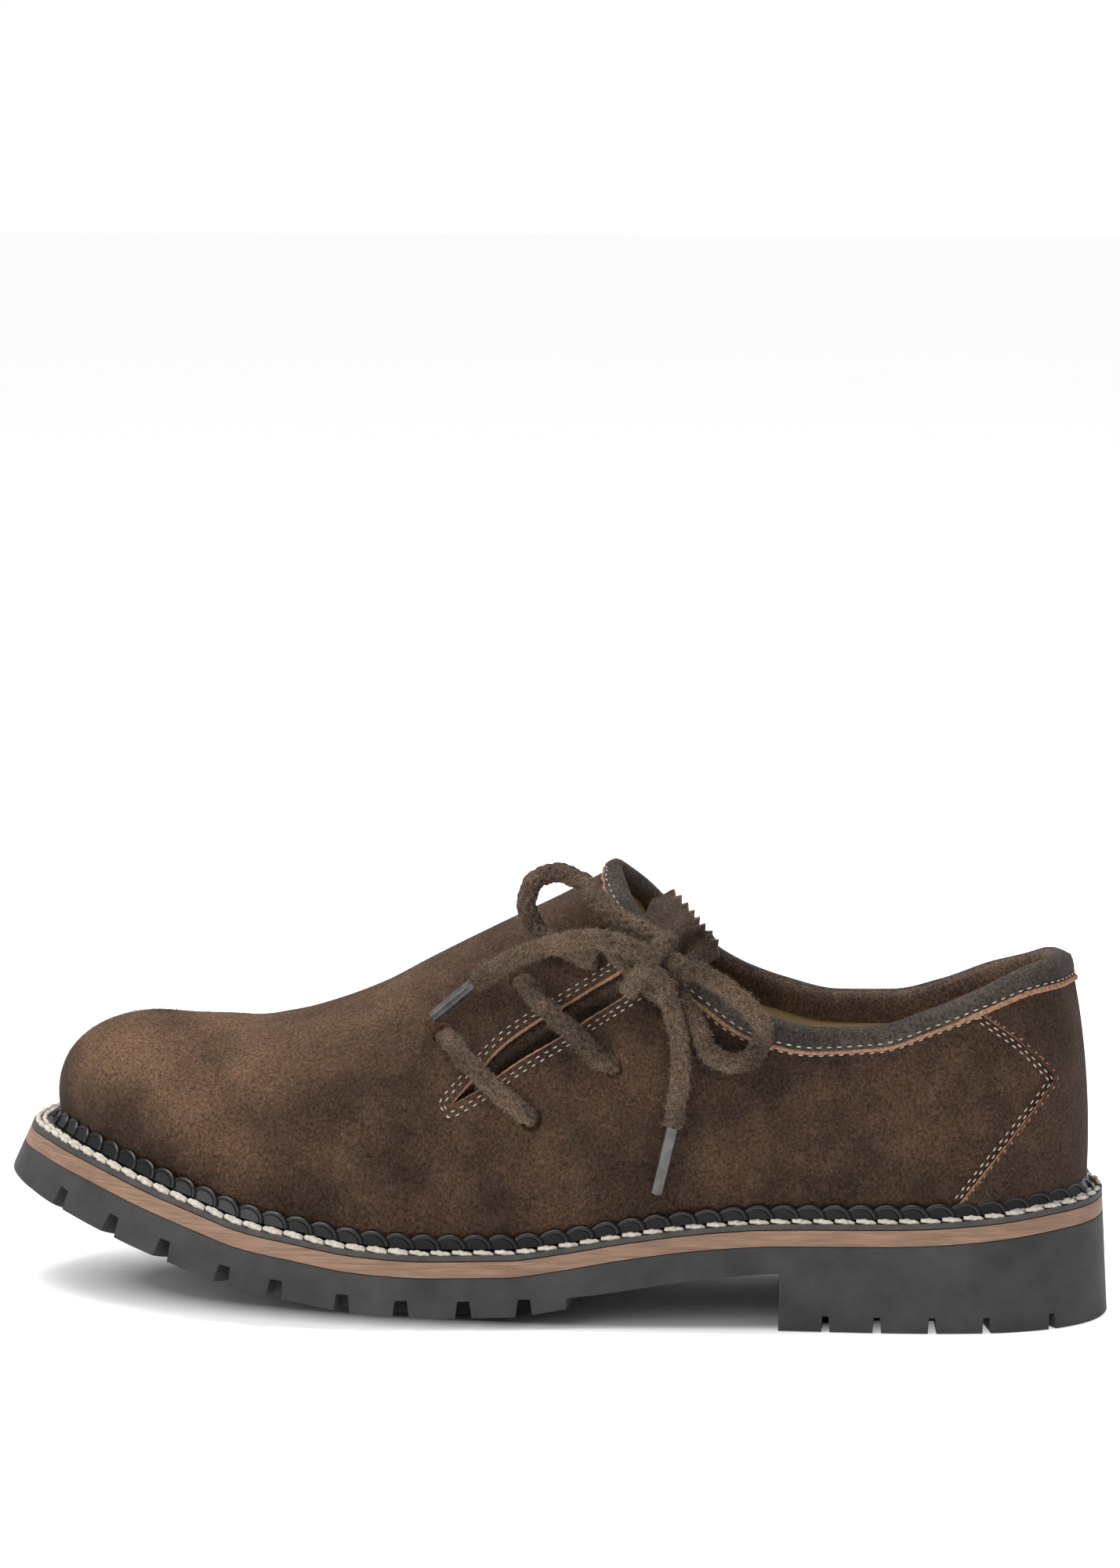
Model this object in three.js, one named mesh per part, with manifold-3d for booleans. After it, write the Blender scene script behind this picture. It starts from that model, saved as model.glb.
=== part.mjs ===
// Low folk shoe, left foot, laced on its outer side, with a welted leather and rubber sole.
// Millimetres, +Z up. X runs along the shoe: heel at +X, toe at -X. The laced side faces -Y.
// The origin is on the floor, under the middle of the sole.
import * as THREE from "three";
import { mergeVertices } from "three/addons/utils/BufferGeometryUtils.js";
import Module from "manifold-3d";

const wasm = await Module();
wasm.setup();

// Driving sizes
const soleLength = 305;
const ballWidth = 106;
const ballTop = 14.1; // top of the rubber at the ball's edge
const heelRise = 13.5; // how much higher the rubber's top is at the heel
const toeSpring = 24.4; // how much higher it is at the toe
const toeTilt = 25; // degrees that the sole's edge leans at the toe
const edgeLift = 3.3; // the forefoot is rounded across: its edge is off the floor
const treadThickness = 10.8;
const lugHeight = 4.4;
const heelNotchHeight = 4.2;
const midsoleThickness = 4.2;
const weltThickness = 1.4;
const layerGap = 0.3;
const seatGap = 0.6; // the upper and the braid over the welt
const weltReach = 8.2; // how far the welt stands out at the toe
const insoleThickness = 2.6;
const insoleGap = 0.6;
const instepHeight = 119; // top of the throat
const collarHeight = 97; // the upper's edge at the back of the heel
const collarWidth = 66;
const wall = 2.1;
const braidRadius = 1.65;
const laceRadius = 2.7;
const laceHoleRadius = 3.1;
const laceLift = 3.3; // middle of a lace bar over the leather
const agletRadius = 1.6;
const jointGap = 0.15; // between pieces of the bow that meet
const overlayGap = 0.35;
const counterThickness = 1.1;
const bandThickness = 1.4;
const bandHeight = 6.8;
const facingHeight = 9.4;
const tongueThickness = 1.8;
const tongueGap = 3.1; // it also passes under the folded strip's inner side
const toothPitch = 2.6;
const toothDepth = 1.8;

// Where the sole's top outline starts and ends, and where the upper's ridge lines do, as shares of soleLength
const heelEnd = 0.004;
const toeEnd = 0.986;
const throat = 0.442;
const fanStart = 0.55;
const fanPole = 0.85;
const archStart = 0.28;
const treadStart = 0.463;

// The sole's outline: along the length, then each side as a share of ballWidth
const outline = table(
  ["along", "lateral", "medial"],
  [
    [0.004, 0, 0],
    [0.01, 0.104, 0.104],
    [0.03, 0.193, 0.193],
    [0.06, 0.259, 0.255],
    [0.1, 0.305, 0.302],
    [0.15, 0.33, 0.324],
    [0.2, 0.342, 0.33],
    [0.27, 0.349, 0.325],
    [0.35, 0.363, 0.311],
    [0.42, 0.387, 0.307],
    [0.5, 0.429, 0.34],
    [0.58, 0.472, 0.406],
    [0.65, 0.498, 0.462],
    [0.72, 0.5, 0.495],
    [0.78, 0.475, 0.5],
    [0.84, 0.42, 0.486],
    [0.89, 0.344, 0.443],
    [0.93, 0.255, 0.373],
    [0.96, 0.151, 0.283],
    [0.98, 0.047, 0.17],
    [0.986, -0.047, 0.047],
  ],
);

// The rubber's top at the edge: shares of heelRise, toeSpring, toeTilt, edgeLift and treadThickness
const profile = table(
  ["along", "heel", "toe", "tilt", "lift", "tread"],
  [
    [0, 1, 0, -0.12, 0, 1],
    [0.04, 0.93, 0, -0.09, 0, 1],
    [0.1, 0.79, 0, -0.04, 0, 1],
    [0.16, 0.7, 0, 0, 0, 1],
    [0.23, 0.665, 0, 0, 0, 1],
    [0.29, 0.635, 0, 0.05, 0, 1],
    [0.35, 0.53, 0, 0.18, 0.1, 1],
    [0.42, 0.32, 0, 0.25, 0.45, 1],
    [0.47, 0.13, 0, 0.16, 0.85, 1],
    [0.52, 0, 0, 0, 1, 1],
    [0.58, 0, 0, 0, 1, 1],
    [0.65, 0, 0.06, 0.1, 1, 1],
    [0.71, 0, 0.19, 0.28, 1, 1],
    [0.76, 0, 0.31, 0.45, 1, 1],
    [0.79, 0, 0.43, 0.56, 1, 1],
    [0.84, 0, 0.615, 0.74, 1, 1],
    [0.88, 0, 0.765, 0.86, 1, 1],
    [0.913, 0, 0.875, 0.93, 1, 0.98],
    [0.953, 0, 0.965, 1, 1, 0.92],
    [1, 0, 1, 1, 1, 0.86],
  ],
);

// The slab under the arch and the forefoot, thickness as a share of treadThickness
const slab = table(
  ["along", "thick"],
  [
    [0, 0.68],
    [0.28, 0.68],
    [0.42, 0.79],
    [0.463, 0.72],
    [0.51, 0.593],
    [1, 0.593],
  ],
);

// How far the welt stands out beyond the upper, as a share of weltReach
const reach = table(
  ["along", "share"],
  [
    [0, 0.7],
    [0.04, 0.68],
    [0.1, 0.64],
    [0.25, 0.66],
    [0.4, 0.72],
    [0.5, 0.82],
    [0.65, 0.95],
    [0.8, 1],
    [0.93, 0.97],
    [1, 0.95],
  ],
);

// The upper's ridge from throat to toe: height as a share of instepHeight, sideways as a share of ballWidth
const ridge = table(
  ["along", "height", "side"],
  [
    [0.442, 0.995, 0.02],
    [0.462, 0.966, 0.022],
    [0.491, 0.925, 0.025],
    [0.531, 0.874, 0.028],
    [0.571, 0.822, 0.03],
    [0.611, 0.768, 0.034],
    [0.651, 0.712, 0.038],
    [0.692, 0.668, 0.042],
    [0.732, 0.636, 0.046],
    [0.773, 0.618, 0.05],
    [0.813, 0.618, 0.051],
    [0.85, 0.624, 0.052],
  ],
);

// The top edge from the back of the heel to the throat: the rib's foot, how far the edge lies ahead of it,
// the height as a share of collarHeight, the side of collarWidth and the folded strip's height of bandHeight
const topline = table(
  ["along", "ahead", "lateralHeight", "lateralSide", "medialHeight", "medialSide", "band"],
  [
    [0.019, 0.022, 1, 0, 1, 0, 0.88],
    [0.035, 0.019, 0.996, 0.2, 0.985, 0.2, 0.82],
    [0.06, 0.015, 0.978, 0.3, 0.955, 0.3, 0.68],
    [0.1, 0.009, 0.936, 0.385, 0.913, 0.385, 0.57],
    [0.15, 0.004, 0.882, 0.445, 0.851, 0.44, 0.55],
    [0.2, 0, 0.84, 0.48, 0.812, 0.47, 0.6],
    [0.25, 0, 0.835, 0.5, 0.807, 0.485, 0.7],
    [0.3, 0, 0.872, 0.5, 0.842, 0.485, 0.85],
    [0.34, 0, 0.947, 0.475, 0.9, 0.46, 0.95],
    [0.37, 0, 1.012, 0.435, 0.96, 0.42, 1],
    [0.4, 0, 1.08, 0.345, 1.062, 0.34, 0.95],
    [0.42, 0, 1.137, 0.24, 1.137, 0.25, 0.88],
    [0.442, 0, 1.2207, -0.032, 1.2207, 0.032, 0.85],
  ],
);

// A rib of the upper: lean at its foot and turn at its top in degrees, then both curve lengths as shares
// of the rib's span
const ribs = table(
  ["along", "lean", "turn", "low", "high"],
  [
    [0.019, 3, 13, 0.34, 0.33],
    [0.06, 5, 13, 0.34, 0.33],
    [0.12, 7, 13, 0.34, 0.33],
    [0.2, 8, 14, 0.34, 0.33],
    [0.28, 9, 22, 0.34, 0.33],
    [0.34, 9, 36, 0.35, 0.33],
    [0.39, 9, 58, 0.36, 0.33],
    [0.442, 9, 90, 0.38, 0.33],
    [0.55, 9, 90, 0.41, 0.33],
    [0.65, 10, 90, 0.42, 0.34],
    [0.75, 10, 90, 0.42, 0.38],
    [0.85, 8, 90, 0.43, 0.44],
    [0.93, 4, 90, 0.43, 0.5],
    [0.958, 2, 90, 0.43, 0.52],
  ],
);

// Outlines on the laced side, seen from the side: along as a share of soleLength, height as a share of
// instepHeight
const slitEdge = [
  [0.572, 0.493],
  [0.552, 0.556],
  [0.53, 0.622],
  [0.5, 0.68],
  [0.46, 0.742],
  [0.42, 0.812],
  [0.388, 0.88],
  [0.34, 0.985],
  [0.325, 0.94],
  [0.366, 0.856],
  [0.395, 0.79],
  [0.43, 0.727],
  [0.47, 0.656],
  [0.51, 0.594],
  [0.545, 0.53],
];
// The tongue under the slit, without the teeth of its end
const tongueSide = [
  [0.352, 0.8],
  [0.38, 0.72],
  [0.43, 0.63],
  [0.49, 0.53],
  [0.55, 0.42],
  [0.6, 0.4],
  [0.61, 0.47],
  [0.57, 0.6],
  [0.52, 0.71],
  [0.475, 0.79],
  [0.46, 0.81],
  [0.43, 0.85],
  [0.412, 0.88],
];
const tongueEnd = [
  [0.408, 0.945],
  [0.395, 0.938],
  [0.372, 0.908],
  [0.354, 0.876],
  [0.342, 0.842],
  [0.346, 0.815],
];
// The front edge of the panel round the heel, from top to bottom
const counterEdge = [
  [0.12, 0.745],
  [0.105, 0.713],
  [0.077, 0.658],
  [0.053, 0.591],
  [0.046, 0.562],
  [0.053, 0.529],
  [0.075, 0.455],
  [0.132, 0.262],
  [0.165, 0.15],
];
// Lace holes, upper then lower of each bar
const laceHoles = [
  [0.581, 0.646, 0.501, 0.473],
  [0.515, 0.765, 0.431, 0.595],
  [0.442, 0.871, 0.37, 0.716],
];

// Lace routes and tips: along as a share of soleLength, side of ballWidth, height of instepHeight
const laceRoutes = {
  lace_knot: [
    [0.3803, -0.311, 0.876],
    [0.384, -0.387, 0.872],
    [0.393, -0.415, 0.84],
    [0.4043, -0.406, 0.801],
    [0.4127, -0.386, 0.769],
  ],
  lace_loop_left: [
    [0.385, -0.344, 0.878],
    [0.4246, -0.321, 0.927],
    [0.4435, -0.255, 0.955],
    [0.4626, -0.189, 0.987],
    [0.4858, -0.17, 1.003],
    [0.5044, -0.189, 0.985],
    [0.5105, -0.208, 0.941],
    [0.5044, -0.204, 0.89],
    [0.4905, -0.217, 0.857],
    [0.464, -0.262, 0.832],
    [0.4442, -0.285, 0.817],
  ],
  lace_loop_right: [
    [0.3834, -0.363, 0.867],
    [0.371, -0.387, 0.823],
    [0.3552, -0.387, 0.821],
    [0.3313, -0.387, 0.79],
    [0.3055, -0.382, 0.735],
    [0.2955, -0.356, 0.683],
    [0.3017, -0.347, 0.634],
    [0.3179, -0.375, 0.612],
    [0.338, -0.397, 0.63],
    [0.347, -0.4, 0.665],
    [0.349, -0.401, 0.685],
  ],
  lace_end_left: [
    [0.3925, -0.4075, 0.8504],
    [0.4157, -0.396, 0.875],
    [0.434, -0.387, 0.885],
    [0.4593, -0.358, 0.879],
    [0.4931, -0.303, 0.849],
    [0.5218, -0.286, 0.817],
    [0.5438, -0.266, 0.781],
    [0.5538, -0.261, 0.76],
  ],
  lace_end_right: [
    [0.3965, -0.415, 0.83],
    [0.383, -0.425, 0.807],
    [0.3732, -0.429, 0.743],
    [0.3667, -0.419, 0.68],
    [0.3652, -0.405, 0.625],
    [0.3673, -0.401, 0.553],
    [0.3731, -0.391, 0.469],
  ],
};
const agletTips = {
  aglet_left: ["lace_end_left", [0.5908, -0.276, 0.68]],
  aglet_right: ["lace_end_right", [0.3879, -0.361, 0.31]],
};

const midsoleTop = layerGap + midsoleThickness;
const weltBase = midsoleTop + layerGap;
const weltTop = weltBase + weltThickness;
const upperBase = weltTop + seatGap;
const slitReach = -5;
const tongueReach = 3; // how far the tongue goes past the middle
const lugDepth = 13;
const grooveClearance = 0.2; // between a groove's top and the slab
const cutterReach = ballTop + heelRise + toeSpring + weltTop; // past the sole's top everywhere
const ringWidth = 3;
const braidGap = 0.85;
const weltUnder = 3; // how far the welt reaches in under the upper's inside
// Grooves in the tread and notches in the heel, as shares of soleLength
const treadGroovePlaces = [0.502, 0.554, 0.608, 0.66, 0.72, 0.7675, 0.824, 0.874, 0.925];
const centreGroovePlaces = [0.528, 0.581, 0.634, 0.69, 0.744, 0.796, 0.85];
const heelNotchPlaces = [0.045, 0.1, 0.147, 0.195, 0.24];

const columnsHeel = 12;
const columnsToe = 14;
const rows = 8;

// Turns rows of numbers into a table that can be read anywhere between its rows
function table(names, numbers) {
  const angles = numbers.map((row) => angleOf(row[0]));
  const columns = {};
  names.forEach((name, column) => {
    columns[name] = smoothColumn(
      angles,
      numbers.map((row) => row[column]),
    );
  });
  return (name, along) => columns[name](angleOf(along));
}

// The place along the shoe as an angle: widths grow evenly with it, so both ends come out round
function angleOf(along) {
  const share = Math.min(1, Math.max(0, (along - 0.004) / 0.982));
  return Math.acos(1 - 2 * share) + (along < 0.004 ? along - 0.004 : 0) + (along > 0.986 ? along - 0.986 : 0);
}

// A curve through the rows that never overshoots them
function smoothColumn(places, values) {
  const last = places.length - 1;
  const slopes = values.slice(1).map((value, i) => (value - values[i]) / (places[i + 1] - places[i]));
  const tangents = values.map((_, i) => {
    if (i === 0) return slopes[0];
    if (i === last) return slopes[last - 1];
    if (slopes[i - 1] * slopes[i] <= 0) return 0;
    const before = places[i] - places[i - 1];
    const after = places[i + 1] - places[i];
    const weight = (before + 2 * after) / slopes[i - 1] + (2 * before + after) / slopes[i];
    return (3 * (before + after)) / weight;
  });
  return (place) => {
    if (place <= places[0]) return values[0];
    if (place >= places[last]) return values[last];
    let i = 0;
    while (place > places[i + 1]) i += 1;
    const step = places[i + 1] - places[i];
    const s = (place - places[i]) / step;
    return (
      (1 + 2 * s) * (1 - s) ** 2 * values[i] +
      s * (1 - s) ** 2 * step * tangents[i] +
      s * s * (3 - 2 * s) * values[i + 1] +
      s * s * (s - 1) * step * tangents[i + 1]
    );
  };
}
const half = soleLength / 2 + 0.42; // the box of the whole shoe is centred on the origin
const footStart = 0.019;
const footEnd = 0.958;
const up = new THREE.Vector3(0, 0, 1);
const radians = Math.PI / 180;

function mix(a, b, s) {
  return a + (b - a) * s;
}

function xAt(along) {
  return half - along * soleLength;
}

function alongAt(angle) {
  return mix(heelEnd, toeEnd, (1 - Math.cos(angle)) / 2);
}

// Rubber top at the edge of the sole
function edgeTop(along) {
  return ballTop + heelRise * profile("heel", along) + toeSpring * profile("toe", along);
}

function tiltAt(along) {
  return profile("tilt", along) * toeTilt * radians;
}

// A point of the sole: along its length, across it from -1 to 1, and a height over the rubber's top
function solePoint(along, across, height) {
  const lateral = -ballWidth * outline("lateral", along);
  const medial = ballWidth * outline("medial", along);
  return layerPoint(along, mix(lateral, medial, (across + 1) / 2), height);
}

function layerPoint(along, y, height) {
  const tilt = tiltAt(along);
  return new THREE.Vector3(xAt(along) + height * Math.sin(tilt), y, edgeTop(along) + height * Math.cos(tilt));
}

// The ground surface under the forefoot: flat in the middle and rounded up to the edge
function treadDepth(along, across) {
  const outer = Math.max(0, (Math.abs(across) - 0.35) / 0.65);
  return treadThickness * profile("tread", along) + edgeLift * profile("lift", along) * (1 - outer * outer);
}

function slabDepth(along, across) {
  const share = slab("thick", along) / slab("thick", 1);
  const body = (treadThickness * profile("tread", along) - lugHeight) * share;
  return body + treadDepth(along, across) - treadThickness * profile("tread", along);
}

// A place of the outline in plan. Past either end the outline goes on down the other side.
function outlineAt(side, angle) {
  if (angle < 0) return outlineAt(-side, -angle);
  if (angle > Math.PI) return outlineAt(-side, 2 * Math.PI - angle);
  const along = alongAt(angle);
  return new THREE.Vector2(xAt(along), side * ballWidth * outline(side < 0 ? "lateral" : "medial", along));
}

// The outline's point and outward direction in plan, inset by a distance
function rim(side, angle, inset) {
  const step = 0.02;
  const tangent = outlineAt(side, angle + step).sub(outlineAt(side, angle - step)).normalize();
  const outward = new THREE.Vector2(side * tangent.y, -side * tangent.x);
  return { point: outlineAt(side, angle).addScaledVector(outward, -inset), outward };
}

// Solids
function solid(geometry) {
  const bare = new THREE.BufferGeometry();
  const source = geometry.index ? geometry.toNonIndexed() : geometry;
  bare.setAttribute("position", source.getAttribute("position").clone());
  const merged = mergeVertices(bare, 1e-4);
  const faces = [];
  const index = merged.index.array;
  for (let i = 0; i < index.length; i += 3) {
    const [a, b, c] = [index[i], index[i + 1], index[i + 2]];
    if (a !== b && b !== c && c !== a) faces.push(a, b, c);
  }
  const made = fromFaces(merged.attributes.position.array, faces);
  if (made.volume() > 0) return made;
  for (let i = 0; i < faces.length; i += 3) [faces[i], faces[i + 1]] = [faces[i + 1], faces[i]];
  return fromFaces(merged.attributes.position.array, faces);
}

function fromFaces(positions, faces) {
  const mesh = new wasm.Mesh({ numProp: 3, vertProperties: positions, triVerts: new Uint32Array(faces) });
  return new wasm.Manifold(mesh);
}

function geometryOf(shape) {
  const mesh = shape.getMesh();
  const geometry = new THREE.BufferGeometry();
  geometry.setAttribute("position", new THREE.BufferAttribute(new Float32Array(mesh.vertProperties), 3));
  geometry.setIndex(new THREE.BufferAttribute(new Uint32Array(mesh.triVerts), 1));
  return geometry.toNonIndexed();
}

// A closed skin between two grids of points, front and back, read as grid[column][row]
function skin(front, back, { loop = false, joined = () => false } = {}) {
  const points = [];
  const quad = (a, b, c, d) => points.push(a, b, c, a, c, d);
  const columns = front.length;
  const count = front[0].length;
  for (let i = 0; i < (loop ? columns : columns - 1); i += 1) {
    const next = (i + 1) % columns;
    for (let j = 0; j < count - 1; j += 1) {
      quad(front[i][j], front[next][j], front[next][j + 1], front[i][j + 1]);
      quad(back[i][j], back[i][j + 1], back[next][j + 1], back[next][j]);
    }
    quad(front[i][0], back[i][0], back[next][0], front[next][0]);
    const end = count - 1;
    if (!joined(i, next)) quad(front[i][end], front[next][end], back[next][end], back[i][end]);
  }
  if (!loop) {
    const end = columns - 1;
    for (let j = 0; j < count - 1; j += 1) {
      quad(front[0][j], front[0][j + 1], back[0][j + 1], back[0][j]);
      quad(front[end][j], back[end][j], back[end][j + 1], front[end][j + 1]);
    }
  }
  const geometry = new THREE.BufferGeometry().setFromPoints(points);
  return solid(geometry);
}

function grid(columns, count, at) {
  const made = [];
  for (let i = 0; i < columns; i += 1) {
    const column = [];
    for (let j = 0; j < count; j += 1) column.push(at(i, j));
    made.push(column);
  }
  return made;
}

// A plate of the sole between two heights over the rubber's top. A width of 1 ends at the sole's edge.
function plate(stations, lanes, top, bottom, width = 1) {
  const place = (height) => (i, j) => {
    const across = mix(-1, 1, j / (lanes - 1)) * width;
    return solePoint(stations[i], across, height(stations[i], across, i));
  };
  return skin(grid(stations.length, lanes, place(top)), grid(stations.length, lanes, place(bottom)));
}

// Stations that crowd together where the outline turns
function stationsBetween(start, end, count) {
  const from = angleOf(start);
  const to = angleOf(end);
  const made = [];
  for (let i = 0; i <= count; i += 1) made.push(alongAt(mix(from, to, i / count)));
  return made;
}

// A closed ring of plan points, inset from the sole's outline
function ringPoints(insetAt, count, height = 0) {
  return ringLoop(insetAt, count, height).map((point) => new THREE.Vector2(point.x, point.y));
}

function ringLoop(insetAt, count, height) {
  const made = [];
  for (let i = 0; i < 2 * count; i += 1) {
    const [side, angle] = i < count ? [-1, (Math.PI * i) / count] : [1, Math.PI * (2 - i / count)];
    const spot = rim(side, angle, insetAt(angle)).point;
    made.push(layerPoint((half - spot.x) / soleLength, spot.y, height));
  }
  return made;
}

function prism(points, low, high) {
  const geometry = new THREE.ExtrudeGeometry(new THREE.Shape(points), {
    depth: high - low,
    bevelEnabled: false,
    steps: 1,
  });
  geometry.translate(0, 0, low);
  return solid(geometry);
}

// A prism across the shoe whose outline is drawn from the side, as shares of soleLength and instepHeight
function sidePrism(shares, low, high) {
  const points = shares.map(([along, height]) => new THREE.Vector2(xAt(along), height * instepHeight));
  const geometry = new THREE.ExtrudeGeometry(new THREE.Shape(points), {
    depth: high - low,
    bevelEnabled: false,
    steps: 1,
  });
  geometry.rotateX(Math.PI / 2);
  geometry.translate(0, high, 0);
  return solid(geometry);
}

const heelStations = stationsBetween(heelEnd, archStart, 8);
const archStations = stationsBetween(archStart, treadStart, 3);
const treadStations = stationsBetween(treadStart, toeEnd, 14);
const soleStations = [...heelStations, ...archStations.slice(1, -1), ...treadStations];

// Sole
function makeOutsole() {
  const parts = [
    [heelStations, heelDepth],
    [archStations, slabDepth],
    [treadStations, treadDepth],
  ];
  const stations = parts.flatMap(([places]) => places);
  const depths = parts.flatMap(([places, depth]) => places.map(() => depth));
  const whole = plate(stations, 5, () => 0, (along, across, i) => -depths[i](along, across));
  return whole.subtract(treadGrooves().intersect(underSlab())).subtract(heelNotches());
}

// The heel stands on the floor
function heelDepth(along) {
  return edgeTop(along) / Math.cos(tiltAt(along));
}

// The room under the slab that the forefoot's grooves may fill
function underSlab() {
  const before = treadStart - lugDepth / soleLength;
  return plate(
    [before, ...treadStations],
    5,
    (along, across) => -slabDepth(along, across) - grooveClearance,
    (along, across) => -treadDepth(along, across) - treadThickness,
    1.3,
  );
}

// A groove cutter that narrows upwards, running inwards from a point of the outline
function groove(side, along, { width, topWidth, depth, floor, height }) {
  const angle = angleOf(along);
  const edge = rim(side, angle, 0);
  const geometry = new THREE.BoxGeometry(width, depth + 10, height + 4);
  const position = geometry.getAttribute("position");
  for (let i = 0; i < position.count; i += 1) {
    const high = position.getZ(i) > 0;
    position.setX(i, Math.sign(position.getX(i)) * (high ? topWidth : width) * 0.5);
    position.setZ(i, high ? height : -4);
  }
  geometry.translate(0, depth / 2 - 5, 0);
  const inward = new THREE.Vector3(-edge.outward.x, -edge.outward.y, 0);
  const normal = new THREE.Vector3(Math.sin(tiltAt(along)), 0, Math.cos(tiltAt(along)));
  const sideways = new THREE.Vector3().crossVectors(inward, normal).normalize();
  const frame = new THREE.Matrix4().makeBasis(sideways, inward, new THREE.Vector3().crossVectors(sideways, inward));
  frame.setPosition(edge.point.x, edge.point.y, floor);
  geometry.applyMatrix4(frame);
  return solid(geometry);
}

function ringGroove(inset, width, low, high) {
  const outer = prism(ringPoints(() => inset, 14), low, high);
  return outer.subtract(prism(ringPoints(() => inset + width, 14), low - 1, high + 1));
}

function crossGroove(along, width, reachAcross) {
  const geometry = new THREE.BoxGeometry(width, reachAcross * 2, cutterReach * 2);
  geometry.translate(xAt(along), 0, 0);
  return solid(geometry);
}

function treadGrooves() {
  const cutters = [ringGroove(lugDepth, ringWidth, -cutterReach, cutterReach)];
  for (const side of [-1, 1]) {
    for (const along of treadGroovePlaces) {
      const edge = solePoint(along, side, -treadThickness * profile("tread", along));
      cutters.push(
        groove(side, along, { width: 4.6, topWidth: 3, depth: lugDepth + 1, floor: edge.z, height: lugHeight + 0.8 }),
      );
    }
  }
  for (const along of centreGroovePlaces) cutters.push(crossGroove(along, ringWidth, ballWidth / 2 - lugDepth));
  return joinAll(cutters);
}

function heelNotches() {
  const ring = ringGroove(lugDepth, ringWidth, -1, heelNotchHeight);
  const cutters = [ring.subtract(solid(new THREE.BoxGeometry(40, ballWidth, 40).translate(xAt(archStart), 0, 0)))];
  for (const side of [-1, 1]) {
    for (const along of heelNotchPlaces) {
      cutters.push(
        groove(side, along, { width: 2.4, topWidth: 1.7, depth: lugDepth + 1, floor: 0, height: heelNotchHeight }),
      );
    }
  }
  const bar = new THREE.BoxGeometry(ringWidth, (ballWidth / 2 - lugDepth) * 1.1, heelNotchHeight * 2);
  cutters.push(solid(bar.clone().translate(xAt(0.17), 0, 0)));
  return joinAll(cutters);
}

function joinAll(shapes) {
  return shapes.reduce((whole, shape) => whole.add(shape));
}

function makeMidsole() {
  return plate(soleStations, 3, () => midsoleTop, () => layerGap);
}

// A closed ring from loops of points, each a corner of its section
function loopSkin(loops) {
  const points = [];
  const quad = (a, b, c, d) => points.push(a, b, c, a, c, d);
  const count = loops[0].length;
  loops.forEach((loop, k) => {
    const other = loops[(k + 1) % loops.length];
    for (let i = 0; i < count; i += 1) quad(loop[i], loop[(i + 1) % count], other[(i + 1) % count], other[i]);
  });
  return solid(new THREE.BufferGeometry().setFromPoints(points));
}

function weltInner(angle) {
  return weltReachAt(angle) + wall + weltUnder;
}

function weltReachAt(angle) {
  return weltReach * reach("share", alongAt(angle));
}

function makeWelt() {
  const whole = plate(soleStations, 3, () => weltTop, () => weltBase);
  return whole.subtract(prism(ringPoints(weltInner, 22, weltBase), -cutterReach, cutterReach));
}

function makeBraid() {
  const sides = 4;
  const loops = [];
  for (let k = 0; k < sides; k += 1) {
    const turn = ((k + 0.5) / sides) * Math.PI * 2;
    const inset = (angle) => weltReachAt(angle) - braidGap - braidRadius * (1 + Math.cos(turn));
    loops.push(ringLoop(inset, 24, upperBase + braidRadius * (1 + Math.sin(turn))));
  }
  return loopSkin(loops);
}

// Upper
function nominalAt(angle) {
  return mix(footStart, footEnd, (1 - Math.cos(angle)) / 2);
}

function angleOfNominal(along) {
  return Math.acos(1 - (2 * (along - footStart)) / (footEnd - footStart));
}

function ridgeAlong(along) {
  if (along <= fanStart) return along;
  const q = (along - fanStart) / (footEnd - fanStart);
  const span = fanPole - fanStart;
  const bend = (footEnd - fanStart) / span - 1;
  return fanStart + span * (q * (1 + bend) - bend * q * q);
}

function ridgePoint(along) {
  return new THREE.Vector3(xAt(along), ballWidth * ridge("side", along), instepHeight * ridge("height", along));
}

function ridgeSlope(along) {
  const ahead = ridgePoint(along + 0.01);
  const behind = ridgePoint(along - 0.01);
  return (ahead.z - behind.z) / (ahead.x - behind.x);
}

// The curve of one rib, from the welt up to the top edge or the ridge
function rib(side, angle) {
  const nominal = nominalAt(angle);
  const spot = rim(side, angle, weltReachAt(angle));
  const low = layerPoint((half - spot.point.x) / soleLength, spot.point.y, upperBase);
  const name = side < 0 ? "lateral" : "medial";
  const ridged = nominal >= throat - 1e-9;
  const crest = ridgeAlong(Math.max(nominal, throat));
  const high = ridged
    ? ridgePoint(crest)
    : new THREE.Vector3(
        xAt(nominal + topline("ahead", nominal)),
        side * collarWidth * topline(name + "Side", nominal),
        collarHeight * topline(name + "Height", nominal),
      );
  const span = high.distanceTo(low);
  const lean = ribs("lean", nominal) * radians;
  const turn = ribs("turn", nominal) * radians;
  const outward = new THREE.Vector3(spot.outward.x, spot.outward.y, 0);
  const start = up.clone().multiplyScalar(Math.cos(lean)).addScaledVector(outward, Math.sin(lean));
  const flat = new THREE.Vector3(low.x - high.x, low.y - high.y, 0).normalize();
  const crestShare = Math.max(0, (turn / radians - 40) / 50) ** 2;
  const slope = ridgeSlope(crest) * flat.x * Math.sin(turn) * crestShare;
  const end = flat.clone().multiplyScalar(Math.sin(turn)).addScaledVector(up, slope - Math.cos(turn));
  return {
    points: [
      low,
      low.clone().addScaledVector(start, span * ribs("low", nominal)),
      high.clone().addScaledVector(end, span * ribs("high", nominal)),
      high,
    ],
    ridged,
    crest,
  };
}

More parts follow.
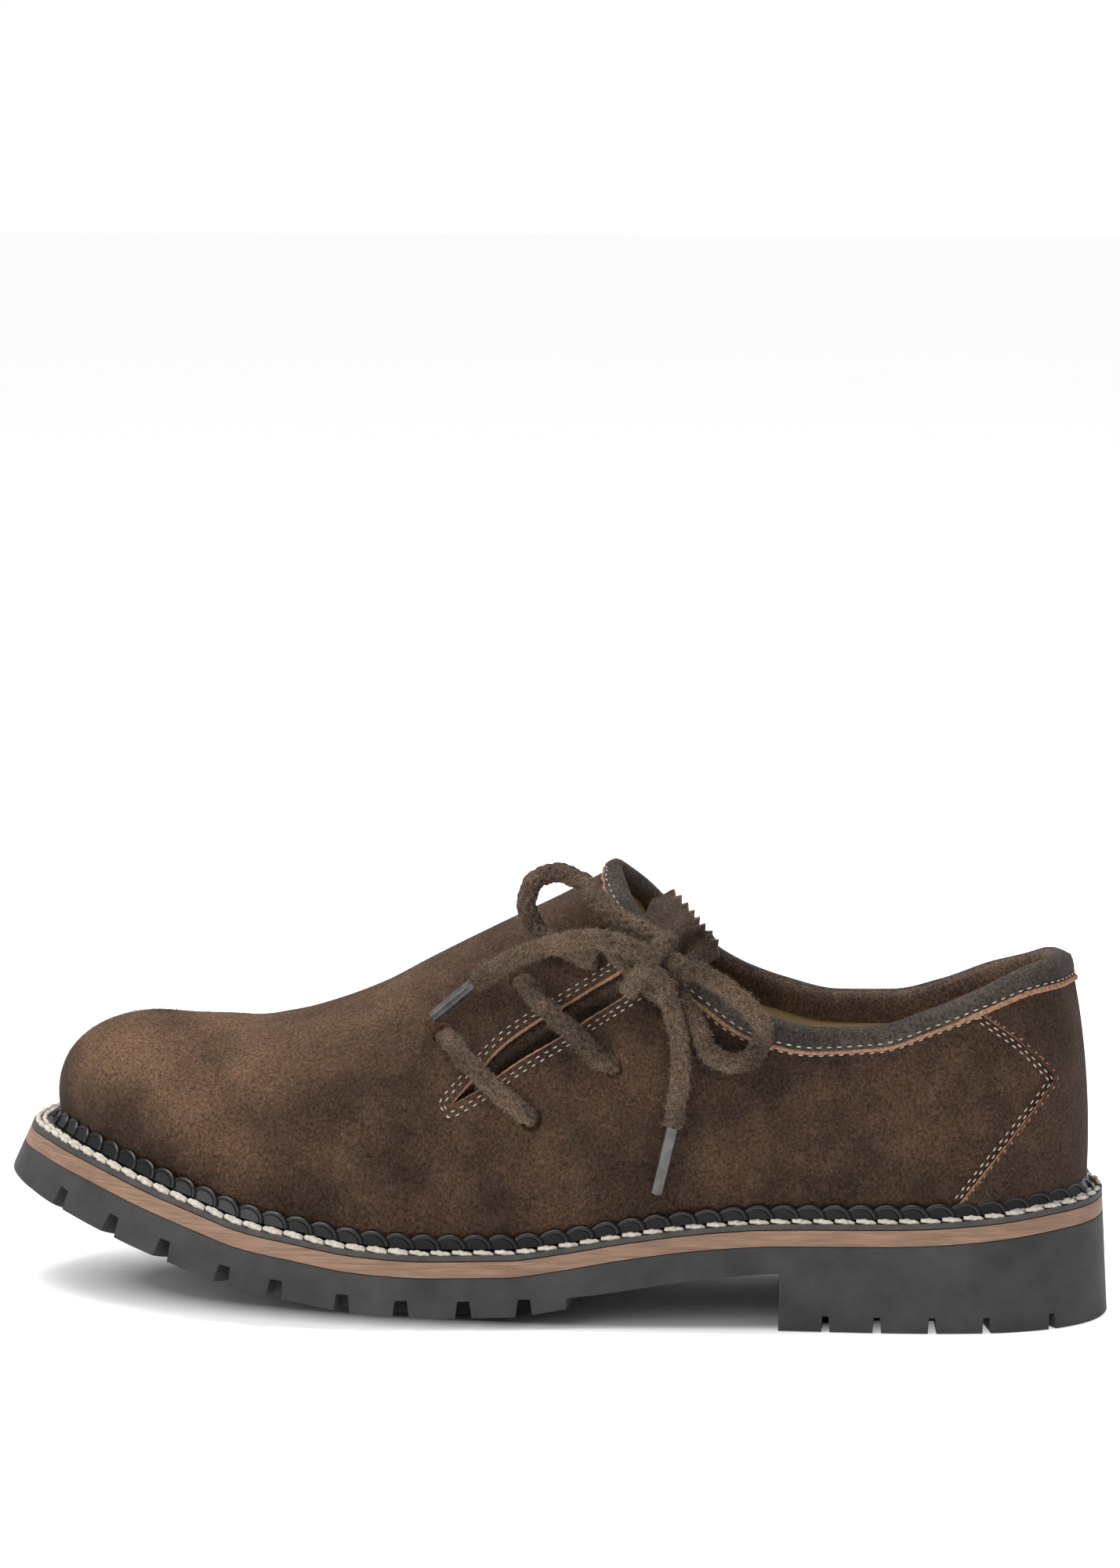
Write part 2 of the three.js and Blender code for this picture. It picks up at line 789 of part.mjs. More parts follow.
function ribAt(side, angle, v) {
  if (angle < 0) return ribAt(-side, -angle, v);
  if (angle > Math.PI) return ribAt(-side, 2 * Math.PI - angle, v);
  const [a, b, c, d] = rib(side, angle).points;
  if (v > 1) return d.clone().addScaledVector(d.clone().sub(c), 3 * (v - 1));
  const w = 1 - v;
  return a
    .clone()
    .multiplyScalar(w * w * w)
    .addScaledVector(b, 3 * w * w * v)
    .addScaledVector(c, 3 * w * v * v)
    .addScaledVector(d, v * v * v);
}

// A point on a side of the upper, moved out by a distance
function upperPoint(side, angle, v, out = 0) {
  const point = ribAt(side, angle, v);
  return out === 0 ? point : point.addScaledVector(upperNormal(side, angle, v), out);
}

function upperNormal(side, angle, v) {
  const curve = rib(side, angle);
  if (curve.ridged && v > 0.995) {
    return new THREE.Vector3(-ridgeSlope(curve.crest), 0, 1).normalize();
  }
  const step = 0.012;
  const forward = ribAt(side, angle + step, v).sub(ribAt(side, angle - step, v));
  const rise = ribAt(side, angle, v + 0.01).sub(ribAt(side, angle, Math.max(0, v - 0.01)));
  return forward.cross(rise).multiplyScalar(side).normalize();
}

// Angle and share of the rib for a place drawn from the side
function findOnSide(side, x, z) {
  const risen = (angle) => {
    let [low, high] = [0, 1.5];
    for (let i = 0; i < 24; i += 1) {
      const middle = (low + high) / 2;
      if (ribAt(side, angle, middle).z < z) low = middle;
      else high = middle;
    }
    return (low + high) / 2;
  };
  let [near, far] = [0, Math.PI];
  for (let i = 0; i < 24; i += 1) {
    const middle = (near + far) / 2;
    if (ribAt(side, middle, risen(middle)).x > x) near = middle;
    else far = middle;
  }
  const angle = (near + far) / 2;
  return { angle, v: risen(angle) };
}

function upperAngles() {
  const apex = angleOfNominal(throat);
  const made = [];
  for (let i = 0; i < columnsHeel; i += 1) made.push((apex * i) / columnsHeel);
  for (let i = 0; i <= columnsToe; i += 1) made.push(mix(apex, Math.PI, i / columnsToe));
  return made;
}

// Both sides as one loop: outer side from heel to toe, then inner side back to the heel
function upperLoop() {
  const angles = upperAngles();
  const outer = angles.map((angle) => ({ side: -1, angle }));
  const inner = angles.slice(1, -1).reverse().map((angle) => ({ side: 1, angle }));
  return [...outer, ...inner];
}

// The whole shell between two distances from the surface, its top edge raised by a distance
function shellBetween(outside, inside, raised) {
  const loop = upperLoop();
  const ridged = loop.map(({ side, angle }) => rib(side, angle).ridged);
  const edges = new Map(toplineLoop().map((place) => [`${place.side} ${place.angle}`, place]));
  const sheet = (out) =>
    grid(loop.length, rows + 1, (i, j) => {
      const { side, angle } = loop[i];
      const place = upperPoint(side, angle, rowShare(j), out);
      const edge = j === rows ? edges.get(`${side} ${angle}`) : undefined;
      return edge ? place.addScaledVector(edge.down, -raised) : place;
    });
  return skin(sheet(outside), sheet(inside), { loop: true, joined: (i, next) => ridged[i] && ridged[next] });
}

// Rows crowd together towards the top
function rowShare(j) {
  return (j / rows) ** 0.8;
}

function makeUpper() {
  const slit = sidePrism(slitEdge, -ballWidth, slitReach);
  return shellBetween(0, -wall, 0).subtract(joinAll([slit, ...laceHoleCutters()]));
}

function laceHoleCutters() {
  return laceHoles.flatMap(([topAlong, topHeight, lowAlong, lowHeight]) => [
    holeCutter(topAlong, topHeight),
    holeCutter(lowAlong, lowHeight),
  ]);
}

function holePlace(along, height) {
  const { angle, v } = findOnSide(-1, xAt(along), height * instepHeight);
  return { point: upperPoint(-1, angle, v), normal: upperNormal(-1, angle, v) };
}

function holeCutter(along, height) {
  const { point, normal } = holePlace(along, height);
  const geometry = new THREE.CylinderGeometry(laceHoleRadius, laceHoleRadius, wall * 4, 10);
  geometry.applyQuaternion(new THREE.Quaternion().setFromUnitVectors(new THREE.Vector3(0, 1, 0), normal));
  geometry.translate(point.x, point.y, point.z);
  return solid(geometry);
}

// Moves a place of the upper's surface along a heading
function walk(side, start, heading, distance) {
  const spot = { ...start };
  const steps = 4;
  const nudge = 0.004;
  for (let i = 0; i < steps; i += 1) {
    const here = ribAt(side, spot.angle, spot.v);
    const forward = ribAt(side, spot.angle + nudge, spot.v).sub(here).divideScalar(nudge);
    const rise = here.clone().sub(ribAt(side, spot.angle, spot.v - nudge)).divideScalar(nudge);
    const [ff, fr, rr] = [forward.dot(forward), forward.dot(rise), rise.dot(rise)];
    const [hf, hr] = [heading.dot(forward), heading.dot(rise)];
    const scale = distance / steps / (ff * rr - fr * fr);
    spot.angle += (hf * rr - hr * fr) * scale;
    spot.v = Math.min(1, spot.v + (ff * hr - fr * hf) * scale);
  }
  return spot;
}

// The top edge as one loop: outer side from throat to heel, then inner side back to the throat
function toplineLoop() {
  const angles = upperAngles().filter((angle) => angle <= angleOfNominal(throat) + 1e-9);
  const outer = [...angles].reverse().map((angle) => ({ side: -1, angle }));
  const inner = angles.slice(1).map((angle) => ({ side: 1, angle }));
  const loop = [...outer, ...inner];
  const last = loop.length - 1;
  const edges = loop.map(({ side, angle }) => ribAt(side, angle, 1));
  return loop.map(({ side, angle }, i) => {
    const normal = upperNormal(side, angle, 1);
    const apex = i === 0 || i === last;
    const next = apex ? edges[1] : edges[i + 1];
    const before = apex ? edges[last - 1] : edges[i - 1];
    const down = new THREE.Vector3().crossVectors(next.clone().sub(before), normal).normalize();
    if (down.x + down.z > 0) down.negate();
    return { side, angle, edge: edges[i], normal, down };
  });
}

// A point near the top edge: a distance down the surface, or up past the edge if negative, and a distance out
function bandPoint(place, distance, out) {
  if (distance <= 0) {
    return place.edge.clone().addScaledVector(place.down, distance).addScaledVector(place.normal, out);
  }
  const spot = walk(place.side, { angle: place.angle, v: 1 }, place.down, distance);
  return upperPoint(place.side, spot.angle, spot.v, out);
}

// A leather strip folded over the top edge, inside and out
function makeCollarBand() {
  const gap = overlayGap;
  const thick = bandThickness;
  const section = (height) => [
    [height, -wall / 2],
    [height, gap + thick * 0.8],
    [height / 2, gap + thick * 1.15],
    [0, gap + thick],
    [-gap - thick, -wall / 2 + 0.8],
    [-gap - thick, -wall / 2 - 0.8],
    [0, -wall - gap - thick],
    [facingHeight / 2, -wall - gap - thick * 0.9],
    [facingHeight, -wall - gap - thick * 0.8],
    [facingHeight, -wall / 2],
  ];
  const ribbons = toplineLoop()
    .slice(0, -1)
    .map((place) => section(bandDepth(place.angle)).map(([distance, out]) => bandPoint(place, distance, out)));
  const loops = ribbons[0].map((_, k) => ribbons.map((ribbon) => ribbon[k]));
  const under = shellBetween(gap, -wall - gap, gap).add(shellBetween(gap, -wall - gap, 0));
  return loopSkin(loops).subtract(under).subtract(sidePrism(slitEdge, -ballWidth, slitReach));
}

function bandDepth(angle) {
  return bandHeight * topline("band", nominalAt(angle));
}

// The share of a rib at a distance below its top or above its foot
function shareFromTop(side, angle, distance) {
  return 1 - shareAlong(distance, (s) => ribAt(side, angle, 1 - s));
}

function shareFromFoot(side, angle, distance) {
  return shareAlong(distance, (s) => ribAt(side, angle, s));
}

function shareAlong(distance, at) {
  const step = 0.01;
  let [gone, share] = [0, 0];
  while (gone < distance) {
    gone += at(share).distanceTo(at(share + step));
    share += step;
  }
  return share;
}

// The panel laid over the back of the upper
function makeCounter() {
  const spread = angleOfNominal(0.2);
  const columns = 20;
  const lines = 7;
  const places = [];
  for (let i = 0; i <= columns; i += 1) {
    const turn = mix(-spread, spread, i / columns);
    const side = turn < 0 ? -1 : 1;
    const angle = Math.abs(turn);
    const low = shareFromFoot(side, angle, 2 * braidRadius + 1);
    const high = shareFromTop(side, angle, bandDepth(angle) + 0.8);
    places.push({ side, angle, low, high });
  }
  const sheet = (out) =>
    grid(places.length, lines, (i, j) => {
      const { side, angle, low, high } = places[i];
      return upperPoint(side, angle, mix(low, high, j / (lines - 1)), out);
    });
  const wrap = skin(sheet(overlayGap + counterThickness), sheet(overlayGap));
  const behind = [[-0.1, 0.1], [-0.1, 1.1], [0.14, 1.1]];
  return wrap.intersect(sidePrism([...counterEdge, ...behind], -ballWidth, ballWidth));
}

// A board inside the upper's foot, resting on the welt
function makeInsole() {
  const base = weltTop + layerGap;
  const inset = (angle) => weltReachAt(angle) + wall + insoleGap;
  const stations = 24;
  const lanes = 5;
  const at = (height) => (i, j) => {
    const angle = (Math.PI * i) / stations;
    const [lateral, medial] = [-1, 1].map((side) => rim(side, angle, inset(angle)).point);
    const spot = lateral.lerp(medial, j / (lanes - 1));
    return layerPoint((half - spot.x) / soleLength, spot.y, height);
  };
  return skin(grid(stations + 1, lanes, at(base + insoleThickness)), grid(stations + 1, lanes, at(base)));
}

// The tongue hangs inside the laced side and comes out of the throat with a toothed end
function makeTongue() {
  const angles = upperAngles().filter((angle) => nominalAt(angle) > 0.3 && nominalAt(angle) < 0.66);
  const shares = [...Array(rows + 1).keys()].slice(2).map(rowShare);
  shares.push(1.12, 1.24, 1.36);
  const sheet = (out) => grid(angles.length, shares.length, (i, j) => upperPoint(-1, angles[i], shares[j], out));
  const inside = -wall - tongueGap;
  const whole = skin(sheet(inside), sheet(inside - tongueThickness));
  return whole.intersect(sidePrism([...tongueSide, ...toothed(tongueEnd)], -ballWidth, tongueReach));
}

// Adds teeth to an outline
function toothed(shares) {
  const made = [];
  for (let i = 0; i < shares.length - 1; i += 1) {
    const [from, to] = [shares[i], shares[i + 1]];
    const run = [(to[0] - from[0]) * soleLength, (to[1] - from[1]) * instepHeight];
    const length = Math.hypot(...run);
    const count = Math.round(length / toothPitch);
    const outwards = [(run[1] / length) * toothDepth, (-run[0] / length) * toothDepth];
    for (let k = 0; k < count; k += 1) {
      const at = (s) => [mix(from[0], to[0], s), mix(from[1], to[1], s)];
      const [along, height] = at((k + 0.5) / count);
      made.push(at(k / count), [along + outwards[0] / soleLength, height + outwards[1] / instepHeight]);
    }
  }
  made.push(shares[shares.length - 1]);
  return made;
}

function tube(points, radius, sides, steps) {
  const path = new THREE.CatmullRomCurve3(points, false, "centripetal");
  const turn = (k) => ((k + 0.5) * Math.PI * 2) / sides;
  const corners = [...Array(sides).keys()].map((k) => new THREE.Vector2(Math.cos(turn(k)), Math.sin(turn(k))));
  const shape = new THREE.Shape(corners.map((corner) => corner.multiplyScalar(radius)));
  return solid(new THREE.ExtrudeGeometry(shape, { steps, bevelEnabled: false, extrudePath: path }));
}

// A lace bar comes out of one hole, crosses the slit and goes into the other
function makeBar([topAlong, topHeight, lowAlong, lowHeight]) {
  const start = holePlace(topAlong, topHeight);
  const end = holePlace(lowAlong, lowHeight);
  const across = end.point.clone().sub(start.point);
  const span = across.length();
  across.normalize();
  const near = ({ point, normal }, out, distance) =>
    point.clone().addScaledVector(normal, out).addScaledVector(across, distance);
  const route = [near(start, -wall / 2, 0), near(start, 1.4, 0), near(start, 3.4, 2.2)];
  for (const share of [0.3, 0.5, 0.7]) {
    const { angle, v } = findOnSide(
      -1,
      mix(start.point.x, end.point.x, share),
      mix(start.point.z, end.point.z, share),
    );
    route.push(upperPoint(-1, angle, v, laceLift));
  }
  route.push(near(end, 3.4, -2.2), near(end, 1.4, 0), near(end, -wall / 2, 0));
  return tube(route, laceRadius, 8, Math.round(span / 4) + 3);
}

function placesOf(numbers) {
  return numbers.map(
    ([along, side, height]) => new THREE.Vector3(xAt(along), side * ballWidth, height * instepHeight),
  );
}

// The knot, or a rope of the bow that ends against it
function makeLace(name) {
  const route = placesOf(laceRoutes[name]);
  const rope = tube(route, laceRadius, 8, route.length + 1);
  if (name === "lace_knot") return rope;
  const knot = placesOf(laceRoutes.lace_knot);
  return rope.subtract(tube(knot, laceRadius + jointGap, 8, knot.length + 1));
}

function makeAglet(name) {
  const [lace, tipShares] = agletTips[name];
  const [before, end] = placesOf(laceRoutes[lace]).slice(-2);
  const [tip] = placesOf([tipShares]);
  const heading = end.clone().sub(before).normalize();
  const start = end.clone().addScaledVector(heading, jointGap);
  return tube([start, start.clone().addScaledVector(heading, 2), tip], agletRadius, 8, 3);
}

const shoe = new THREE.Group();

function addPiece(name, shape, color, roughness) {
  const material = new THREE.MeshStandardMaterial({ color, roughness, metalness: 0 });
  const mesh = new THREE.Mesh(geometryOf(shape), material);
  mesh.name = name;
  shoe.add(mesh);
}

addPiece("outsole", makeOutsole(), 0x2b2b2c, 0.7);
addPiece("midsole", makeMidsole(), 0xb08a60, 0.7);
addPiece("welt", makeWelt(), 0x3a3634, 0.7);
addPiece("welt_braid", makeBraid(), 0x151515, 0.4);
addPiece("insole", makeInsole(), 0xd8c8a0, 0.8);
addPiece("upper", makeUpper(), 0x4a3324, 0.9);
addPiece("collar_band", makeCollarBand(), 0x4d443c, 0.9);
addPiece("heel_counter", makeCounter(), 0x46301f, 0.9);
addPiece("tongue", makeTongue(), 0x2e2622, 0.95);
laceHoles.forEach((holes, i) => addPiece(`lace_bar_${i + 1}`, makeBar(holes), 0x5a4c3e, 0.95));
for (const name of Object.keys(laceRoutes)) addPiece(name, makeLace(name), 0x5a4c3e, 0.95);
for (const name of Object.keys(agletTips)) addPiece(name, makeAglet(name), 0x77746f, 0.4);

export default shoe;
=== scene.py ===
"""Looks of a low folk shoe, left foot, laced on its outer side, with a welted leather and rubber sole.

Sizes are in millimetres in the part's own frame: heel at +X, toe at -X, the laced side at -Y,
the floor at Z 0.
"""

import math

import bmesh
import bpy
import numpy as np
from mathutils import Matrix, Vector


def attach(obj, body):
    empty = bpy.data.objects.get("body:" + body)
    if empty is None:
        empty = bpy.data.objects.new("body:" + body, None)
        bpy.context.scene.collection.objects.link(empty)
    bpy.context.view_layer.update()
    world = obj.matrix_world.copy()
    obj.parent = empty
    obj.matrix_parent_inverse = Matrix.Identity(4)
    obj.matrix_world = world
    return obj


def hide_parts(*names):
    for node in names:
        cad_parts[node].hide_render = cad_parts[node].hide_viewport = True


MM = 0.001

# Driving sizes, the same as the solid part's
SOLE_LENGTH = 305
BALL_WIDTH = 106
BALL_TOP = 14.1
HEEL_RISE = 13.5
TOE_SPRING = 24.4
TOE_TILT = math.radians(25)
EDGE_LIFT = 3.3
TREAD_THICKNESS = 10.8
LUG_HEIGHT = 4.4
LUG_DEPTH = 13
HEEL_NOTCH_HEIGHT = 4.2
MIDSOLE_THICKNESS = 4.2
WELT_THICKNESS = 1.4
LAYER_GAP = 0.3
SEAT_GAP = 0.6
WELT_REACH = 8.2
INSTEP_HEIGHT = 119
COLLAR_HEIGHT = 97
COLLAR_WIDTH = 66
WALL = 2.1
BRAID_GAP = 0.85
LACE_RADIUS = 2.7
LACE_HOLE_RADIUS = 3.1
LACE_LIFT = 3.3
OVERLAY_GAP = 0.35
COUNTER_THICKNESS = 1.1
BAND_THICKNESS = 1.4
BAND_HEIGHT = 6.8
FACING_HEIGHT = 10.4
TONGUE_THICKNESS = 1.8
TONGUE_GAP = 3.1
TOOTH_PITCH = 2.6
TOOTH_DEPTH = 1.4

SEAM_PITCH = 2.7
WELT_STITCH_PITCH = 5.7
BRAID_PITCH = 6.9
BRAID_STRAND = 0.85
FUZZ_LENGTH = 1.25
NAP_LENGTH = 0.55
NAP_HAIRS = 60000

# Rise of the rib at the heel, and how far out a rib's top aims on each side
HEEL_RIB = 66
LACED_LEAD = 3
INNER_LEAD = 9

# Places along the sole and the upper, as shares of the length from the heel
HEEL_END = 0.004
TOE_END = 0.986
FOOT_START = 0.019
FOOT_END = 0.958
THROAT = 0.442
FAN_START = 0.55
FAN_POLE = 0.85
ARCH_START = 0.28
TREAD_START = 0.463
# The box of the whole shoe is centred on the origin
HALF = SOLE_LENGTH / 2 + 0.42
MIDSOLE_TOP = LAYER_GAP + MIDSOLE_THICKNESS
WELT_BASE = MIDSOLE_TOP + LAYER_GAP
WELT_TOP = WELT_BASE + WELT_THICKNESS
UPPER_BASE = WELT_TOP + SEAT_GAP


def angle_of(along):
    share = np.clip((along - HEEL_END) / (TOE_END - HEEL_END), 0, 1)
    past = np.minimum(along - HEEL_END, 0) + np.maximum(along - TOE_END, 0)
    return np.arccos(1 - 2 * share) + past


def smooth_column(places, values):
    """A curve through the values that never overshoots them."""
    steps = np.diff(places)
    slopes = np.diff(values) / steps
    tangents = np.concatenate([slopes[:1], np.zeros(len(values) - 2), slopes[-1:]])
    same = slopes[:-1] * slopes[1:] > 0
    first, second = np.where(same, slopes[:-1], 1), np.where(same, slopes[1:], 1)
    before, after = steps[:-1], steps[1:]
    weight = (before + 2 * after) / first + (2 * before + after) / second
    tangents[1:-1] = np.where(same, 3 * (before + after) / weight, 0)

    def at(place):
        place = np.clip(place, places[0], places[-1])
        i = np.clip(np.searchsorted(places, place) - 1, 0, len(places) - 2)
        s = (place - places[i]) / steps[i]
        rising = (1 + 2 * s) * (1 - s) ** 2 * values[i] + s * (1 - s) ** 2 * steps[i] * tangents[i]
        falling = s * s * (3 - 2 * s) * values[i + 1] + s * s * (s - 1) * steps[i] * tangents[i + 1]
        return rising + falling

    return at


def table(names, rows):
    """Rows of numbers that can be read anywhere between them."""
    numbers = np.array(rows, float)
    places = angle_of(numbers[:, 0])
    columns = {name: smooth_column(places, numbers[:, k]) for k, name in enumerate(names)}
    return lambda name, along: columns[name](angle_of(np.asarray(along, float)))


# The sole's outline: along the length, then each side as a share of the ball's width
outline = table(
    ["along", "lateral", "medial"],
    [
        [0.004, 0, 0],
        [0.01, 0.104, 0.104],
        [0.03, 0.193, 0.193],
        [0.06, 0.259, 0.255],
        [0.1, 0.305, 0.302],
        [0.15, 0.33, 0.324],
        [0.2, 0.342, 0.33],
        [0.27, 0.349, 0.325],
        [0.35, 0.363, 0.311],
        [0.42, 0.387, 0.307],
        [0.5, 0.429, 0.34],
        [0.58, 0.472, 0.406],
        [0.65, 0.498, 0.462],
        [0.72, 0.5, 0.495],
        [0.78, 0.475, 0.5],
        [0.84, 0.42, 0.486],
        [0.89, 0.344, 0.443],
        [0.93, 0.255, 0.373],
        [0.96, 0.151, 0.283],
        [0.98, 0.047, 0.17],
        [0.986, -0.047, 0.047],
    ],
)

# The rubber's top at the edge: shares of heel rise, toe spring, tilt, edge lift and tread thickness
profile = table(
    ["along", "heel", "toe", "tilt", "lift", "tread"],
    [
        [0, 1, 0, -0.12, 0, 1],
        [0.04, 0.93, 0, -0.09, 0, 1],
        [0.1, 0.79, 0, -0.04, 0, 1],
        [0.16, 0.7, 0, 0, 0, 1],
        [0.23, 0.665, 0, 0, 0, 1],
        [0.29, 0.635, 0, 0.05, 0, 1],
        [0.35, 0.53, 0, 0.18, 0.1, 1],
        [0.42, 0.32, 0, 0.25, 0.45, 1],
        [0.47, 0.13, 0, 0.16, 0.85, 1],
        [0.52, 0, 0, 0, 1, 1],
        [0.58, 0, 0, 0, 1, 1],
        [0.65, 0, 0.06, 0.1, 1, 1],
        [0.71, 0, 0.19, 0.28, 1, 1],
        [0.76, 0, 0.31, 0.45, 1, 1],
        [0.79, 0, 0.43, 0.56, 1, 1],
        [0.84, 0, 0.615, 0.74, 1, 1],
        [0.88, 0, 0.765, 0.86, 1, 1],
        [0.913, 0, 0.875, 0.93, 1, 0.98],
        [0.953, 0, 0.965, 1, 1, 0.9],
        [0.972, 0, 0.985, 1, 0.9, 0.8],
        [0.986, 0, 1, 1, 0.7, 0.62],
    ],
)

slab = table(
    ["along", "thick"],
    [[0, 0.68], [0.28, 0.68], [0.42, 0.79], [0.463, 0.72], [0.51, 0.593], [1, 0.593]],
)

# How far the welt stands out beyond the upper
reach = table(
    ["along", "share"],
    [
        [0, 0.7],
        [0.04, 0.68],
        [0.1, 0.64],
        [0.25, 0.66],
        [0.4, 0.72],
        [0.5, 0.82],
        [0.65, 0.95],
        [0.8, 1],
        [0.93, 0.97],
        [1, 0.95],
    ],
)

# The upper's ridge from throat to toe
ridge = table(
    ["along", "height", "side"],
    [
        [0.442, 0.995, 0.02],
        [0.462, 0.966, 0.022],
        [0.491, 0.925, 0.025],
        [0.531, 0.874, 0.028],
        [0.571, 0.822, 0.03],
        [0.611, 0.768, 0.034],
        [0.651, 0.712, 0.038],
        [0.692, 0.668, 0.042],
        [0.732, 0.636, 0.046],
        [0.773, 0.618, 0.05],
        [0.813, 0.618, 0.051],
        [0.85, 0.624, 0.052],
    ],
)

# The top edge from the back of the heel to the throat
topline = table(
    ["along", "ahead", "lateralHeight", "lateralSide", "medialHeight", "medialSide", "band"],
    [
        [0.019, 0.022, 1, 0, 1, 0, 0.88],
        [0.035, 0.019, 0.996, 0.2, 0.985, 0.2, 0.82],
        [0.06, 0.015, 0.978, 0.3, 0.955, 0.3, 0.68],
        [0.1, 0.009, 0.93, 0.385, 0.918, 0.385, 0.57],
        [0.15, 0.004, 0.874, 0.445, 0.86, 0.44, 0.55],
        [0.2, 0, 0.831, 0.48, 0.822, 0.47, 0.6],
        [0.25, 0, 0.827, 0.5, 0.817, 0.485, 0.7],
        [0.3, 0, 0.866, 0.5, 0.85, 0.485, 0.85],
        [0.34, 0, 0.947, 0.475, 0.9, 0.46, 0.95],
        [0.37, 0, 1.012, 0.435, 0.96, 0.42, 1],
        [0.4, 0, 1.08, 0.345, 1.062, 0.34, 0.95],
        [0.42, 0, 1.137, 0.24, 1.137, 0.25, 0.88],
        [0.442, 0, 1.2207, -0.032, 1.2207, 0.032, 0.85],
    ],
)

# A rib of the upper: lean at its foot and turn at its top in degrees, then both curve lengths
ribs = table(
    ["along", "lean", "turn", "low", "high"],
    [
        [0.019, 3, 13, 0.34, 0.33],
        [0.06, 5, 13, 0.34, 0.33],
        [0.12, 7, 13, 0.34, 0.33],
        [0.2, 8, 9, 0.34, 0.33],
        [0.28, 9, 13, 0.34, 0.33],
        [0.34, 9, 32, 0.35, 0.33],
        [0.39, 9, 58, 0.36, 0.33],
        [0.442, 9, 90, 0.38, 0.33],
        [0.55, 9, 90, 0.41, 0.33],
        [0.65, 10, 90, 0.42, 0.34],
        [0.75, 10, 90, 0.42, 0.38],
        [0.85, 11, 90, 0.43, 0.44],
        [0.93, 13, 90, 0.45, 0.5],
        [0.958, 15, 90, 0.46, 0.52],
    ],
)

# Outlines seen from the laced side: along as a share of the length, height as a share of the instep's
SLIT_EDGE = [
    [0.572, 0.493],
    [0.552, 0.556],
    [0.53, 0.622],
    [0.5, 0.68],
    [0.46, 0.742],
    [0.42, 0.812],
    [0.388, 0.88],
    [0.34, 0.985],
    [0.325, 0.94],
    [0.366, 0.856],
    [0.395, 0.79],
    [0.43, 0.727],
    [0.47, 0.656],
    [0.51, 0.594],
    [0.545, 0.53],
]
TONGUE_SIDE = [
    [0.352, 0.8],
    [0.38, 0.72],
    [0.43, 0.63],
    [0.49, 0.53],
    [0.55, 0.42],
    [0.6, 0.4],
    [0.61, 0.47],
    [0.57, 0.6],
    [0.52, 0.71],
    [0.475, 0.79],
    [0.46, 0.81],
    [0.43, 0.85],
    [0.412, 0.88],
]
TONGUE_END = [
    [0.408, 0.945],
    [0.395, 0.938],
    [0.372, 0.908],
    [0.354, 0.876],
    [0.342, 0.842],
    [0.346, 0.815],
]
TONGUE_FOLD = [[0.56, 0.5], [0.52, 0.59], [0.47, 0.68], [0.42, 0.76], [0.37, 0.87]]
COUNTER_EDGE = [
    [0.12, 0.745],
    [0.105, 0.713],
    [0.077, 0.658],
    [0.053, 0.591],
    [0.046, 0.562],
    [0.053, 0.529],
    [0.075, 0.455],
    [0.132, 0.262],
    [0.165, 0.15],
]
LACE_HOLES = [
    [0.581, 0.646, 0.501, 0.473],
    [0.515, 0.765, 0.431, 0.595],
    [0.442, 0.871, 0.37, 0.716],
]
LACE_ROUTES = {
    "lace_knot": [
        [0.3803, -0.311, 0.876],
        [0.384, -0.387, 0.872],
        [0.393, -0.415, 0.84],
        [0.4043, -0.406, 0.801],
        [0.4127, -0.386, 0.769],
    ],
    "lace_loop_left": [
        [0.385, -0.344, 0.878],
        [0.4246, -0.321, 0.927],
        [0.4435, -0.255, 0.955],
        [0.4626, -0.189, 0.987],
        [0.4858, -0.17, 1.003],
        [0.5044, -0.189, 0.985],
        [0.5105, -0.208, 0.941],
        [0.5044, -0.204, 0.89],
        [0.4905, -0.217, 0.857],
        [0.464, -0.262, 0.832],
        [0.4442, -0.285, 0.817],
    ],
    "lace_loop_right": [
        [0.3834, -0.363, 0.867],
        [0.371, -0.387, 0.823],
        [0.3552, -0.387, 0.821],
        [0.3313, -0.387, 0.79],
        [0.3055, -0.382, 0.735],
        [0.2955, -0.356, 0.683],
        [0.3017, -0.347, 0.634],
        [0.3179, -0.375, 0.612],
        [0.338, -0.397, 0.63],
        [0.347, -0.4, 0.665],
        [0.349, -0.401, 0.685],
        [0.361, -0.385, 0.735],
        [0.374, -0.368, 0.785],
        [0.386, -0.362, 0.826],
    ],
    "lace_end_left": [
        [0.3925, -0.4075, 0.8504],
        [0.4157, -0.396, 0.875],
        [0.434, -0.387, 0.885],
        [0.4593, -0.358, 0.879],
        [0.4931, -0.303, 0.849],
        [0.5218, -0.286, 0.817],
        [0.5438, -0.266, 0.781],
        [0.5538, -0.261, 0.76],
    ],
    "lace_end_right": [
        [0.3965, -0.415, 0.83],
        [0.383, -0.425, 0.807],
        [0.3732, -0.429, 0.743],
        [0.3667, -0.419, 0.68],
        [0.3652, -0.405, 0.625],
        [0.3673, -0.401, 0.553],
        [0.3731, -0.391, 0.469],
    ],
}
AGLET_TIPS = {
    "aglet_left": ["lace_end_left", [0.5908, -0.276, 0.68]],
    "aglet_right": ["lace_end_right", [0.3879, -0.361, 0.31]],
}

# Lugs, as shares of the length, and the grooves' widths at the ground and at their tops
GROOVE_WIDTHS = (5.4, 3.2)
NOTCH_WIDTHS = (2.8, 1.7)
CENTRE_GROOVE_WIDTH = 3
TREAD_GROOVES = [0.502, 0.554, 0.608, 0.66, 0.72, 0.7675, 0.824, 0.874, 0.925]
CENTRE_GROOVES = [0.528, 0.581, 0.634, 0.69, 0.744, 0.796, 0.85]
HEEL_NOTCHES = [0.045, 0.1, 0.147, 0.195, 0.24]

